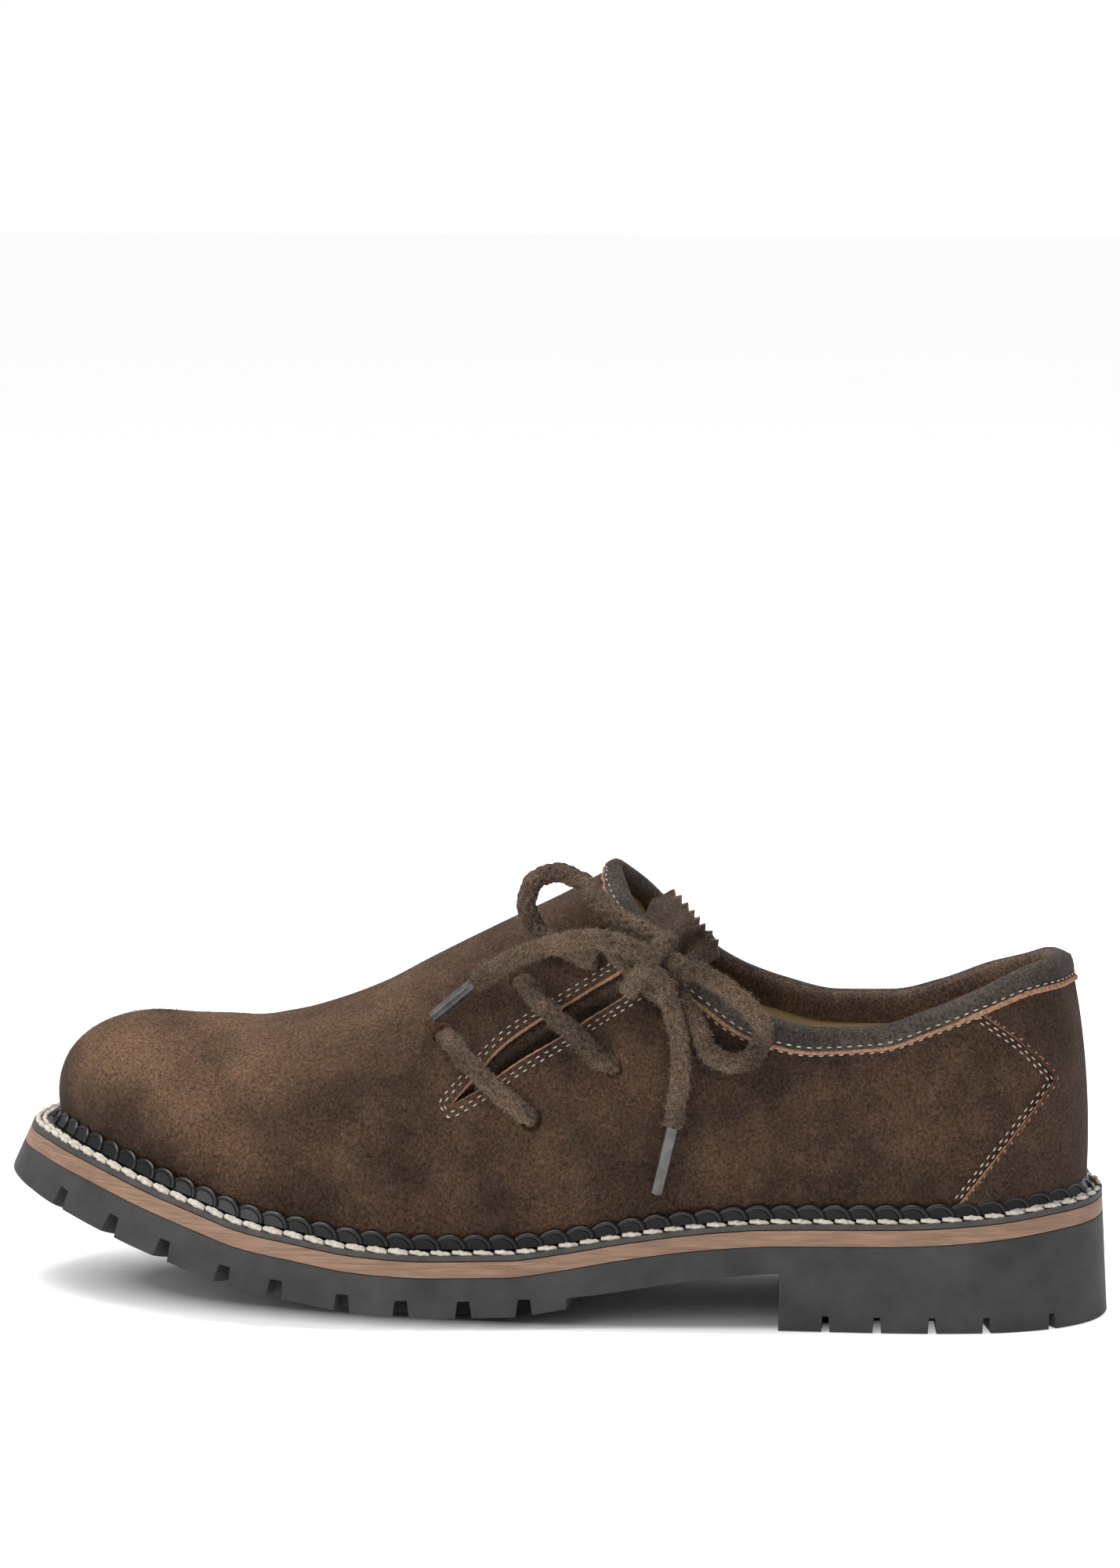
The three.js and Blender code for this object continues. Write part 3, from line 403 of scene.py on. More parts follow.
# Creases on the laced side: outline points, then depth and half width
TROUGHS = [
    [[[0.8, 0.6], [0.77, 0.53], [0.73, 0.46], [0.68, 0.41]], 1.1, 9],
    [[[0.93, 0.42], [0.88, 0.4], [0.84, 0.34], [0.8, 0.26]], 0.8, 7],
    [[[0.66, 0.69], [0.63, 0.6], [0.62, 0.52]], 0.7, 8],
    [[[0.66, 0.42], [0.6, 0.36], [0.53, 0.3]], 0.9, 9],
    [[[0.3, 0.6], [0.25, 0.5], [0.22, 0.38]], 0.6, 10],
    [[[0.4, 0.5], [0.36, 0.4], [0.35, 0.3]], 0.6, 9],
]

# Patches on the laced side: outline point, then radius
# Pale patches are partly the leather's own mottling and partly painted highlight on raised places; dark
# patches are partly its own mottling and partly painted shade.
PALE_AND_HIGHLIGHT_PATCHES = [
    [0.875, 0.58, 15],
    [0.81, 0.46, 13],
    [0.77, 0.38, 15],
    [0.74, 0.54, 17],
    [0.64, 0.71, 16],
]
DARK_AND_SHADE_PATCHES = [
    [0.94, 0.5, 12],
    [0.865, 0.46, 8],
    [0.685, 0.28, 17],
    [0.68, 0.48, 10],
    [0.62, 0.38, 14],
    [0.4, 0.3, 18],
    [0.33, 0.5, 14],
]


# Surface of the shoe
def mix(a, b, s):
    return a + (b - a) * s


def unit(vectors):
    return vectors / np.maximum(np.linalg.norm(vectors, axis=-1, keepdims=True), 1e-12)


def x_at(along):
    return HALF - np.asarray(along, float) * SOLE_LENGTH


def along_at(angle):
    return mix(HEEL_END, TOE_END, (1 - np.cos(angle)) / 2)


def edge_top(along):
    return BALL_TOP + HEEL_RISE * profile("heel", along) + TOE_SPRING * profile("toe", along)


def tilt_at(along):
    return profile("tilt", along) * TOE_TILT


def layer_point(along, y, height):
    tilt = tilt_at(along)
    return np.stack([x_at(along) + height * np.sin(tilt), y, edge_top(along) + height * np.cos(tilt)], -1)


def sole_point(along, across, height):
    lateral = -BALL_WIDTH * outline("lateral", along)
    medial = BALL_WIDTH * outline("medial", along)
    return layer_point(along, mix(lateral, medial, (across + 1) / 2), height)


def tread_depth(along, across):
    outer = np.maximum(0, (np.abs(across) - 0.35) / 0.65)
    lift = EDGE_LIFT * profile("lift", along) * (1 - outer * outer)
    return TREAD_THICKNESS * profile("tread", along) + lift


def slab_depth(along, across):
    thickness = TREAD_THICKNESS * profile("tread", along)
    share = slab("thick", along) / slab("thick", 1.0)
    return (thickness - LUG_HEIGHT) * share + tread_depth(along, across) - thickness


def heel_depth(along, across):
    return edge_top(along) / np.cos(tilt_at(along))


def folded(side, angle):
    past = (angle < 0) | (angle > math.pi)
    inner = np.where(angle < 0, -angle, np.where(angle > math.pi, 2 * math.pi - angle, angle))
    return np.where(past, -side, side), inner


def outline_at(side, angle):
    side, angle = folded(side, angle)
    along = along_at(angle)
    share = np.where(side < 0, outline("lateral", along), outline("medial", along))
    return np.stack([x_at(along), side * BALL_WIDTH * share], -1)


def rim(side, angle, inset):
    step = 0.02
    tangent = unit(outline_at(side, angle + step) - outline_at(side, angle - step))
    outward = np.stack([side * tangent[..., 1], -side * tangent[..., 0]], -1)
    return outline_at(side, angle) - outward * np.asarray(inset)[..., None], outward


def reach_at(angle):
    return WELT_REACH * reach("share", along_at(angle))


def nominal_at(angle):
    return mix(FOOT_START, FOOT_END, (1 - np.cos(angle)) / 2)


def angle_of_nominal(along):
    return math.acos(1 - 2 * (along - FOOT_START) / (FOOT_END - FOOT_START))


def ridge_along(along):
    q = np.maximum(0, (along - FAN_START) / (FOOT_END - FAN_START))
    span = FAN_POLE - FAN_START
    bend = (FOOT_END - FAN_START) / span - 1
    return np.where(along <= FAN_START, along, FAN_START + span * (q * (1 + bend) - bend * q * q))


def ridge_point(along):
    side, height = ridge("side", along), ridge("height", along)
    return np.stack([x_at(along), BALL_WIDTH * side, INSTEP_HEIGHT * height], -1)


def ridge_slope(along):
    ahead, behind = ridge_point(along + 0.01), ridge_point(along - 0.01)
    return (ahead[..., 2] - behind[..., 2]) / (ahead[..., 0] - behind[..., 0])


def rib(side, angle):
    nominal = nominal_at(angle)
    spot, outward = rim(side, angle, reach_at(angle))
    low = layer_point((HALF - spot[..., 0]) / SOLE_LENGTH, spot[..., 1], UPPER_BASE)
    ridged = nominal >= THROAT - 1e-9
    crest = ridge_along(np.maximum(nominal, THROAT))
    side_share = np.where(side < 0, topline("lateralSide", nominal), topline("medialSide", nominal))
    height_share = np.where(side < 0, topline("lateralHeight", nominal), topline("medialHeight", nominal))
    edge_x = x_at(nominal + topline("ahead", nominal))
    edge = np.stack([edge_x, side * COLLAR_WIDTH * side_share, COLLAR_HEIGHT * height_share], -1)
    high = np.where(ridged[..., None], ridge_point(crest), edge)
    span = np.linalg.norm(high - low, axis=-1, keepdims=True)
    lean, turn = np.radians(ribs("lean", nominal)), np.radians(ribs("turn", nominal))
    start = np.stack([outward[..., 0] * np.sin(lean), outward[..., 1] * np.sin(lean), np.cos(lean)], -1)
    flat = low - high
    inner = np.where(side < 0, 0, np.interp(nominal, [0.1, 0.2, 0.35, 0.42], [0, 1, 1, 0]))
    flat[..., :2] += mix(LACED_LEAD, INNER_LEAD, inner)[..., None] * outward
    flat[..., 2] = 0
    flat = unit(flat)
    crest_share = np.maximum(0, (np.degrees(turn) - 40) / 50) ** 2
    slope = ridge_slope(crest) * flat[..., 0] * np.sin(turn) * crest_share
    end = flat * np.sin(turn)[..., None]
    end[..., 2] = slope - np.cos(turn)
    near = low + start * span * ribs("low", nominal)[..., None]
    far = high + end * span * ribs("high", nominal)[..., None]
    return low, near, far, high, ridged, crest


def rib_at(side, angle, v):
    side, angle = folded(side, angle)
    a, b, c, d, _, _ = rib(side, angle)
    v = np.asarray(v)[..., None]
    s = np.minimum(v, 1)
    w = 1 - s
    curve = a * w**3 + b * 3 * w * w * s + c * 3 * w * s * s + d * s**3
    return curve + (d - c) * 3 * np.maximum(0, v - 1)


def upper_normal(side, angle, v):
    _, _, _, _, ridged, crest = rib(side, angle)
    step = 0.012
    forward = rib_at(side, angle + step, v) - rib_at(side, angle - step, v)
    rise = rib_at(side, angle, v + 0.01) - rib_at(side, angle, np.maximum(0, v - 0.01))
    normal = unit(np.cross(forward, rise) * np.asarray(side)[..., None])
    slope = ridge_slope(crest)
    top = unit(np.stack([-slope, np.zeros_like(slope), np.ones_like(slope)], -1))
    return np.where((ridged & (v > 0.995))[..., None], top, normal)


def find_on_side(side, x, z):
    """Angle and share of the rib for places drawn from the side."""
    x, z = np.asarray(x, float), np.asarray(z, float)
    sides = np.full_like(x, side)

    def risen(angle):
        low, high = np.zeros_like(x), np.full_like(x, 1.5)
        for _ in range(16):
            middle = (low + high) / 2
            below = rib_at(sides, angle, middle)[..., 2] < z
            low, high = np.where(below, middle, low), np.where(below, high, middle)
        return (low + high) / 2

    near, far = np.zeros_like(x), np.full_like(x, math.pi)
    for _ in range(16):
        middle = (near + far) / 2
        ahead = rib_at(sides, middle, risen(middle))[..., 0] > x
        near, far = np.where(ahead, middle, near), np.where(ahead, far, middle)
    angle = (near + far) / 2
    return angle, risen(angle)


def side_points(shares):
    """Places drawn from the side as x and z."""
    shares = np.array(shares, float)
    return np.stack([x_at(shares[:, 0]), shares[:, 1] * INSTEP_HEIGHT], -1)


def curve_through(points, step, closed=False):
    """A smooth curve through given points, as points a step apart."""
    points = np.asarray(points, float)
    if closed:
        points = np.concatenate([points[-1:], points, points[:2]])
    else:
        points = np.concatenate([[2 * points[0] - points[1]], points, [2 * points[-1] - points[-2]]])
    knots = np.concatenate([[0], np.cumsum(np.sqrt(np.linalg.norm(np.diff(points, axis=0), axis=1)))])
    made = []
    for i in range(1, len(points) - 2):
        t = np.linspace(knots[i], knots[i + 1], 24, endpoint=False)[:, None]
        t0, t1, t2, t3 = knots[i - 1 : i + 3]
        p0, p1, p2, p3 = points[i - 1 : i + 3]
        a1 = (t1 - t) / (t1 - t0) * p0 + (t - t0) / (t1 - t0) * p1
        a2 = (t2 - t) / (t2 - t1) * p1 + (t - t1) / (t2 - t1) * p2
        a3 = (t3 - t) / (t3 - t2) * p2 + (t - t2) / (t3 - t2) * p3
        b1 = (t2 - t) / (t2 - t0) * a1 + (t - t0) / (t2 - t0) * a2
        b2 = (t3 - t) / (t3 - t1) * a2 + (t - t1) / (t3 - t1) * a3
        made.append((t2 - t) / (t2 - t1) * b1 + (t - t1) / (t2 - t1) * b2)
    made.append(points[-2:-1])
    return evenly(np.concatenate(made), step)


def lengths_along(points):
    return np.concatenate([[0], np.cumsum(np.linalg.norm(np.diff(points, axis=0), axis=1))])


def evenly(points, step):
    gone = lengths_along(points)
    places = np.linspace(0, gone[-1], max(2, round(gone[-1] / step) + 1))
    return at_lengths(points, places)


def at_lengths(points, places):
    gone = lengths_along(points)
    return np.stack([np.interp(places, gone, points[:, k]) for k in range(points.shape[1])], -1)


def on_surface(shares, step):
    """A smooth line on the laced side: its surface places."""
    line = curve_through(side_points(shares), step)
    return find_on_side(-1, line[:, 0], line[:, 1])


def spot_on_side(along, height):
    """Angle and share of the rib for one place on the laced side."""
    x, z = side_points([[along, height]])[0]
    return find_on_side(-1, np.array([x]), np.array([z]))


def trough_lines():
    made = []
    for shares, depth, width in TROUGHS:
        angle, v = on_surface(shares, 4)
        made.append([rib_at(np.full_like(angle, -1), angle, v), depth, width])
    for along, height, low_along, low_height in LACE_HOLES:
        for spot in ([along, height], [low_along, low_height]):
            made.append([rib_at(np.array([-1.0]), *spot_on_side(*spot)), 1.3, 4.5])
    return made


def relief(points):
    """How far the leather stands off its plain surface."""
    total = np.zeros(points.shape[:-1])
    for line, depth, width in SOFT_TROUGHS:
        nearest = np.full(points.shape[:-1], 1e9)
        for a, b in zip(line, line[1:] if len(line) > 1 else line):
            run = b - a
            share = np.clip((points - a) @ run / max(run @ run, 1e-9), 0, 1)
            nearest = np.minimum(nearest, np.linalg.norm(points - a - share[..., None] * run, axis=-1))
        total -= depth * np.exp(-((nearest / width) ** 2))
    return total


def surface(side, angle, v, out=0.0):
    """Points of the upper, a distance out from its outside."""
    side, angle, v = np.broadcast_arrays(np.asarray(side, float), angle, v)
    points = rib_at(side, angle, v)
    return points + upper_normal(side, angle, v) * (relief(points) + out)[..., None]


SOFT_TROUGHS = trough_lines()


# Meshes
def add_mesh(name, points, faces, materials, slots=None, sharp=35):
    mesh = bpy.data.meshes.new(name)
    if isinstance(faces, np.ndarray):
        faces = faces.tolist()
    mesh.from_pydata((np.asarray(points) * MM).tolist(), [], faces)
    for material in materials:
        mesh.materials.append(material)
    if slots is not None:
        mesh.polygons.foreach_set("material_index", np.asarray(slots, np.int32))
    obj = bpy.data.objects.new(name, mesh)
    bpy.context.scene.collection.objects.link(obj)
    tidy_mesh(mesh, sharp)
    return obj


def tidy_mesh(mesh, sharp):
    bm = bmesh.new()
    bm.from_mesh(mesh)
    bmesh.ops.remove_doubles(bm, verts=bm.verts, dist=2e-6)
    bmesh.ops.recalc_face_normals(bm, faces=bm.faces)
    bm.to_mesh(mesh)
    bm.free()
    smooth_mesh(mesh, sharp)


def smooth_mesh(mesh, sharp):
    mesh.polygons.foreach_set("use_smooth", np.ones(len(mesh.polygons), bool))
    mesh.set_sharp_from_angle(angle=math.radians(sharp))


def grid_faces(columns, rows, loop=False, start=0):
    i, j = np.meshgrid(np.arange(columns if loop else columns - 1), np.arange(rows - 1), indexing="ij")
    nxt = (i + 1) % columns
    quads = np.stack([i * rows + j, nxt * rows + j, nxt * rows + j + 1, i * rows + j + 1], -1)
    return quads.reshape(-1, 4) + start


def sheet_solid(name, front, back, materials, loop=False, sharp=35, open_top=None):
    """A closed solid between two grids of points. Slots: front, back, then its edges."""
    columns, rows = front.shape[:2]
    count = columns * rows
    faces = [grid_faces(columns, rows, loop), grid_faces(columns, rows, loop, count)]
    slots = [np.zeros(len(faces[0])), np.full(len(faces[1]), min(1, len(materials) - 1))]
    i = np.arange(columns if loop else columns - 1)
    nxt = (i + 1) % columns
    edges = [np.stack([i * rows, nxt * rows, nxt * rows + count, i * rows + count], -1)]
    top = rows - 1
    rim_faces = np.stack([i * rows, nxt * rows, nxt * rows + count, i * rows + count], -1) + top
    if open_top is not None:
        rim_faces = rim_faces[~(open_top[i] & open_top[nxt])]
    edges.append(rim_faces)
    if not loop:
        j = np.arange(rows - 1)
        for base in (0, (columns - 1) * rows):
            edges.append(np.stack([j, j + 1, j + 1 + count, j + count], -1) + base)
    for edge in edges:
        faces.append(edge)
        slots.append(np.full(len(edge), len(materials) - 1))
    points = np.concatenate([front.reshape(-1, 3), back.reshape(-1, 3)])
    return add_mesh(name, points, np.concatenate(faces), materials, np.concatenate(slots), sharp)


def stations_between(start, end, count):
    return along_at(np.linspace(angle_of(start), angle_of(end), count + 1))


def frames_along(points):
    """Tangent, side and top directions along a line, without twist."""
    tangents = unit(np.gradient(points, axis=0))
    side = np.cross(tangents[0], [0.0, 0.0, 1.0])
    sides = []
    for tangent in tangents:
        side = side - tangent * (side @ tangent)
        side = side / np.linalg.norm(side)
        sides.append(side)
    sides = np.array(sides)
    return tangents, sides, np.cross(sides, tangents)


def tube_grid(points, radii, around):
    """Points round a line: radii is read with the place and the turn."""
    _, sides, tops = frames_along(points)
    turn = np.linspace(0, 2 * math.pi, around, endpoint=False)
    gone = lengths_along(points)
    radius = radii(gone[:, None], turn[None, :])
    ring = sides[:, None] * np.cos(turn)[None, :, None] + tops[:, None] * np.sin(turn)[None, :, None]
    return points[:, None] + ring * radius[..., None], ring


def ring_quads(count, around):
    """Faces between rings of points, one after the other."""
    i, j = np.meshgrid(np.arange(count - 1), np.arange(around), indexing="ij")
    nxt = (j + 1) % around
    low, high = i * around, (i + 1) * around
    return np.stack([low + j, low + nxt, high + nxt, high + j], -1).reshape(-1, 4).tolist()


def round_radius(radius):
    return lambda gone, turn: radius + 0 * gone + 0 * turn


def tube(name, points, radii, around, materials, sharp=180):
    skin, _ = tube_grid(points, radii, around)
    count = len(points)
    centre = np.array([points[0], points[-1]])
    vertices = np.concatenate([skin.reshape(-1, 3), centre])
    k = np.arange(around)
    caps = []
    for base, middle in ((0, count * around), ((count - 1) * around, count * around + 1)):
        caps += np.stack([base + k, base + (k + 1) % around, np.full(around, middle)], -1).tolist()
    return add_mesh(name, vertices, ring_quads(count, around) + caps, materials, sharp=sharp)


def side_prism(outline_xz, low, high, material):
    count = len(outline_xz)
    rings = []
    for level in (low, high):
        rings.append(np.stack([outline_xz[:, 0], np.full(count, float(level)), outline_xz[:, 1]], -1))
    i = np.arange(count)
    nxt = (i + 1) % count
    faces = np.stack([i, nxt, nxt + count, i + count], -1).tolist()
    faces += [list(range(count)), list(range(count, 2 * count))]
    return add_mesh("cutter", np.concatenate(rings), faces, [material])


def box_cutter(centre, axes, sizes, top_scale, material):
    """A box along three axes, its first size scaled at the top."""
    corners = []
    for c in (0, 1):
        wide = sizes[0] * (top_scale if c else 1)
        for a, b in ((-0.5, 0), (0.5, 0), (0.5, 1), (-0.5, 1)):
            corners.append(centre + axes[0] * a * wide + axes[1] * b * sizes[1] + axes[2] * c * sizes[2])
    faces = [[0, 1, 2, 3], [4, 5, 6, 7], [0, 1, 5, 4], [1, 2, 6, 5], [2, 3, 7, 6], [3, 0, 4, 7]]
    return add_mesh("cutter", np.array(corners), faces, [material])


def join(objects):
    bm = bmesh.new()
    for obj in objects:
        bm.from_mesh(obj.data)
    mesh = bpy.data.meshes.new("joined")
    bm.to_mesh(mesh)
    bm.free()
    for material in objects[0].data.materials:
        mesh.materials.append(material)
    for obj in objects[1:]:
        bpy.data.objects.remove(obj)
    objects[0].data = mesh
    return objects[0]


def carve(obj, cutter, operation="DIFFERENCE", sharp=35, solver="MANIFOLD"):
    modifier = obj.modifiers.new("carve", "BOOLEAN")
    modifier.object = cutter
    modifier.operation = operation
    modifier.solver = solver
    modifier.material_mode = "TRANSFER"
    made = obj.evaluated_get(bpy.context.evaluated_depsgraph_get())
    mesh = bpy.data.meshes.new_from_object(made)
    obj.modifiers.clear()
    obj.data = mesh
    bpy.data.objects.remove(cutter)
    smooth_mesh(mesh, sharp)
    return obj


def inside(polygon, x, z):
    """Which places lie inside an outline drawn from the side."""
    found = np.zeros(len(x), bool)
    for (x1, z1), (x2, z2) in zip(polygon, np.roll(polygon, -1, axis=0)):
        crosses = (z1 > z) != (z2 > z)
        where = x1 + (z - z1) / (z2 - z1 if z2 != z1 else 1) * (x2 - x1)
        found ^= crosses & (x < where)
    return found


def place(obj, slot, *nodes):
    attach(obj, "root")
    if nodes:
        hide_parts(*nodes)
    return obj


# Materials
class Shader:
    """A material made of nodes."""

    def __init__(self, name):
        self.material = bpy.data.materials.new(name)
        self.material.use_nodes = True
        self.tree = self.material.node_tree
        self.surface = self.tree.nodes["Principled BSDF"]
        self.place = self.add("ShaderNodeTexCoord").outputs["Object"]

    def add(self, kind, inputs=(), **settings):
        node = self.tree.nodes.new(kind)
        for name, value in settings.items():
            setattr(node, name, value)
        for name, value in dict(inputs).items():
            self.set(node.inputs[name], value)
        return node

    def set(self, socket, value):
        if isinstance(value, bpy.types.NodeSocket):
            self.tree.links.new(value, socket)
        elif isinstance(value, tuple) and len(value) == 3 and socket.type == "RGBA":
            socket.default_value = (*value, 1)
        else:
            socket.default_value = value

    def finish(self, **values):
        for name, value in values.items():
            self.set(self.surface.inputs[name.replace("_", " ")], value)
        return self.material

    def noise(self, size, detail=2, rough=0.5, stretch=(1, 1, 1)):
        """Noise whose blots are about this many millimetres."""
        mapped = self.add("ShaderNodeMapping", {"Vector": self.place, "Scale": stretch}).outputs[0]
        inputs = {"Vector": mapped, "Scale": 1 / (size * MM), "Detail": detail, "Roughness": rough}
        return self.add("ShaderNodeTexNoise", inputs).outputs["Fac"]

    def spread(self, value, low, high, bottom=0.0, top=1.0):
        inputs = {"Value": value, "From Min": low, "From Max": high, "To Min": bottom, "To Max": top}
        return self.add("ShaderNodeMapRange", inputs).outputs[0]

    def maths(self, kind, a, b):
        return self.add("ShaderNodeMath", {0: a, 1: b}, operation=kind).outputs[0]

    def blend(self, share, a, b, kind="MIX"):
        inputs = {0: share, 6: a, 7: b}
        return self.add("ShaderNodeMix", inputs, data_type="RGBA", blend_type=kind).outputs[2]

    def mix_of(self, vector, kind, other):
        name = "Scale" if kind == "SCALE" else 1
        return self.add("ShaderNodeVectorMath", {0: vector, name: other}, operation=kind).outputs[0]

    def shaded(self, colour, shade):
        """A colour made darker and lighter by a number around 1."""
        grey = self.add("ShaderNodeCombineColor", {0: shade, 1: shade, 2: shade}).outputs[0]
        return self.blend(1.0, colour, grey, "MULTIPLY")

    def bump(self, height, distance, strength=1.0, normal=None):
        inputs = {"Height": height, "Distance": distance * MM, "Strength": strength}
        if normal is not None:
            inputs["Normal"] = normal
        return self.add("ShaderNodeBump", inputs).outputs[0]

    def axis(self, name):
        return self.add("ShaderNodeSeparateXYZ", {0: self.place}).outputs[name]


def patches(s, spots):
    """How deep a place lies in soft-edged patches on the laced side."""
    blots = {"Vector": s.place, "Scale": 1 / (16 * MM), "Detail": 3}
    wander = s.add("ShaderNodeTexNoise", blots).outputs["Color"]
    wander = s.mix_of(wander, "SUBTRACT", (0.5, 0.5, 0.5))
    moved = s.mix_of(s.place, "ADD", s.mix_of(wander, "SCALE", 22 * MM))
    total = 0.0
    for along, height, radius in spots:
        centre = tuple(rib_at(np.array([-1.0]), *spot_on_side(along, height))[0] * MM)
        away = s.add("ShaderNodeVectorMath", {0: moved, 1: centre}, operation="DISTANCE").outputs["Value"]
        total = s.maths("MAXIMUM", total, s.spread(away, radius * MM, 0.0))
    return total


def suede(name, dark, light, toe_tone_and_highlight=None, grain=0.85, contrast=0.5, lift=0.22):
    """Rough leather with a short nap, mottled. If a colour is given: lighter and warmer on the up-facing toe,
    partly its own tone and partly painted highlight, and pale and dark patches on the laced side, partly its
    own mottling and partly painted highlight and painted shade.
    """
    s = Shader(name)
    wide = s.noise(30, 4, 0.6)
    middle = s.noise(8, 4, 0.6)
    fine = s.noise(grain, 3, 0.7)
    hair = s.noise(grain * 0.4, 2, 0.6)
    share = s.maths("ADD", s.spread(wide, 0.38, 0.62, 0, 0.62), s.spread(middle, 0.36, 0.64, 0, 0.38))
    colour = s.blend(share, dark, light)
    if toe_tone_and_highlight is not None:
        # Warmer, lighter colour on the toe where it faces up: partly the toe's own tone, partly painted
        # highlight from the light above.
        toe = s.spread(s.axis("X"), -0.03, -0.1)
        normal = s.add("ShaderNodeNewGeometry").outputs["Normal"]
        top = s.spread(s.add("ShaderNodeSeparateXYZ", {0: normal}).outputs["Z"], 0.05, 0.8)
        cloud = s.spread(s.noise(24, 3), 0.36, 0.6, 0.25, 1)
        toe_tone_and_highlight_mask = s.maths("MULTIPLY", s.maths("MULTIPLY", toe, top), cloud)
        colour = s.blend(toe_tone_and_highlight_mask, colour, toe_tone_and_highlight)
        # Pale patches: own mottling and painted highlight; dark patches: own mottling and painted shade.
        colour = s.blend(s.maths("MULTIPLY", patches(s, PALE_AND_HIGHLIGHT_PATCHES), 0.55), colour, toe_tone_and_highlight)
        colour = s.blend(s.maths("MULTIPLY", patches(s, DARK_AND_SHADE_PATCHES), 0.85), colour, dark)
    speck = s.spread(fine, 0.28, 0.72, 1 - contrast, 1 + contrast)
    fibre = s.spread(hair, 0.3, 0.72, 1 - contrast * 0.6, 1 + contrast * 0.6)
    colour = s.shaded(colour, s.maths("MULTIPLY", speck, fibre))
    normal = s.bump(hair, lift * 0.5, 0.7, s.bump(fine, lift, 0.9))
    s.finish(Base_Color=colour, Roughness=0.93, Specular_IOR_Level=0.18, Normal=normal)
    return s.finish(Sheen_Weight=0.05, Sheen_Roughness=0.45, Sheen_Tint=(0.75, 0.62, 0.5))


def plain(name, colour, roughness, blot, size, lift, grain, stretch=(1, 1, 1), **more):
    """One colour with blots of a size, and a grain that lifts the surface."""
    s = Shader(name)
    shade = s.spread(s.noise(size, 3, 0.6, stretch), 0.3, 0.7, 1 - blot, 1 + blot)
    colour = s.shaded(colour, shade)
    normal = s.bump(s.noise(grain, 2, 0.6, stretch), lift)
    return s.finish(Base_Color=colour, Roughness=roughness, Normal=normal, **more)


def midsole_leather():
    s = Shader("midsole_leather")
    fibre = s.noise(0.9, 4, 0.7, (0.07, 0.07, 1.5))
    stain = s.spread(s.noise(13, 3, 0.6, (0.5, 0.5, 1.4)), 0.52, 0.68)
    colour = s.blend(s.spread(fibre, 0.3, 0.7), (0.15, 0.086, 0.052), (0.33, 0.195, 0.125))
    colour = s.blend(s.maths("MULTIPLY", stain, 0.6), colour, (0.16, 0.085, 0.05))
    return s.finish(Base_Color=colour, Roughness=0.62, Normal=s.bump(fibre, 0.12))


def rubber():
    s = Shader("sole_rubber")
    soft = s.add("ShaderNodeBevel", {"Radius": 0.5 * MM}, samples=4).outputs[0]
    dust = s.spread(s.noise(17, 4, 0.6), 0.35, 0.7)
    colour = s.blend(dust, (0.025, 0.025, 0.0265), (0.05, 0.049, 0.05))
    normal = s.bump(s.noise(0.55, 2, 0.5), 0.05, 0.8, soft)
    return s.finish(Base_Color=colour, Roughness=0.68, Specular_IOR_Level=0.35, Normal=normal)


MATERIALS = {
    "suede": suede(
        "upper_suede", (0.028, 0.0165, 0.011), (0.079, 0.0455, 0.028), (0.138, 0.079, 0.046), contrast=0.75
    ),
    "counter": suede("counter_suede", (0.031, 0.019, 0.013), (0.065, 0.038, 0.025), contrast=0.7),
    "trim": suede("trim_suede", (0.033, 0.027, 0.024), (0.078, 0.062, 0.052), grain=0.8, contrast=0.8),
    "facing": suede("facing_suede", (0.05, 0.033, 0.025), (0.135, 0.09, 0.067), grain=0.8, contrast=0.8),
    "tongue": suede("tongue_suede", (0.028, 0.018, 0.013), (0.075, 0.05, 0.036), grain=0.8, contrast=0.8),
    "raw": plain("raw_edge", (0.31, 0.16, 0.095), 0.85, 0.45, 1.0, 0.3, 0.5),
    "raw_dark": plain("raw_edge_dark", (0.11, 0.055, 0.038), 0.85, 0.4, 1.2, 0.25, 0.5),
    "lining": plain("lining_leather", (0.55, 0.43, 0.26), 0.6, 0.12, 12, 0.05, 0.7),
    "insole": plain("insole_leather", (0.5, 0.4, 0.25), 0.65, 0.12, 14, 0.05, 0.8),
    "welt": plain("welt_leather", (0.045, 0.04, 0.037), 0.65, 0.3, 5, 0.08, 0.6),
    "braid": plain("braid_leather", (0.007, 0.007, 0.0075), 0.3, 0.3, 3, 0.03, 0.5),
    "rope": plain("rope_thread", (0.56, 0.51, 0.43), 0.8, 0.3, 1.2, 0.14, 0.3),
    "stitch": plain("seam_thread", (0.5, 0.46, 0.4), 0.75, 0.3, 1.2, 0.05, 0.3),
    "lace": suede(
        "lace_wool", (0.034, 0.0235, 0.0165), (0.142, 0.095, 0.065), grain=0.62, contrast=0.85, lift=0.3
    ),
    "hair": plain("lace_fuzz", (0.27, 0.215, 0.165), 0.9, 0.4, 3, 0.01, 0.5),
    "nap": plain("suede_nap", (0.12, 0.08, 0.055), 0.95, 0.5, 6, 0.01, 0.5),
    "aglet": plain(
        "aglet_plastic", (0.055, 0.05, 0.047), 0.25, 0.6, 0.7, 0.08, 0.6, (0.2, 0.2, 0.2), Coat_Weight=0.5
    ),
    "midsole": midsole_leather(),
    "rubber": rubber(),
}


# Camera, light and floor
VIEW_TURN = 8
VIEW_DISTANCE = 1400
VIEW_AIM = (0.42, 19.6, 138.1)
WORLD_LIGHT = 0.42
SHADOW_SIZE = (0.17, 0.055, 1)
FLOOR_GLOW = 0.6
FLOOR_DROP = 0.2


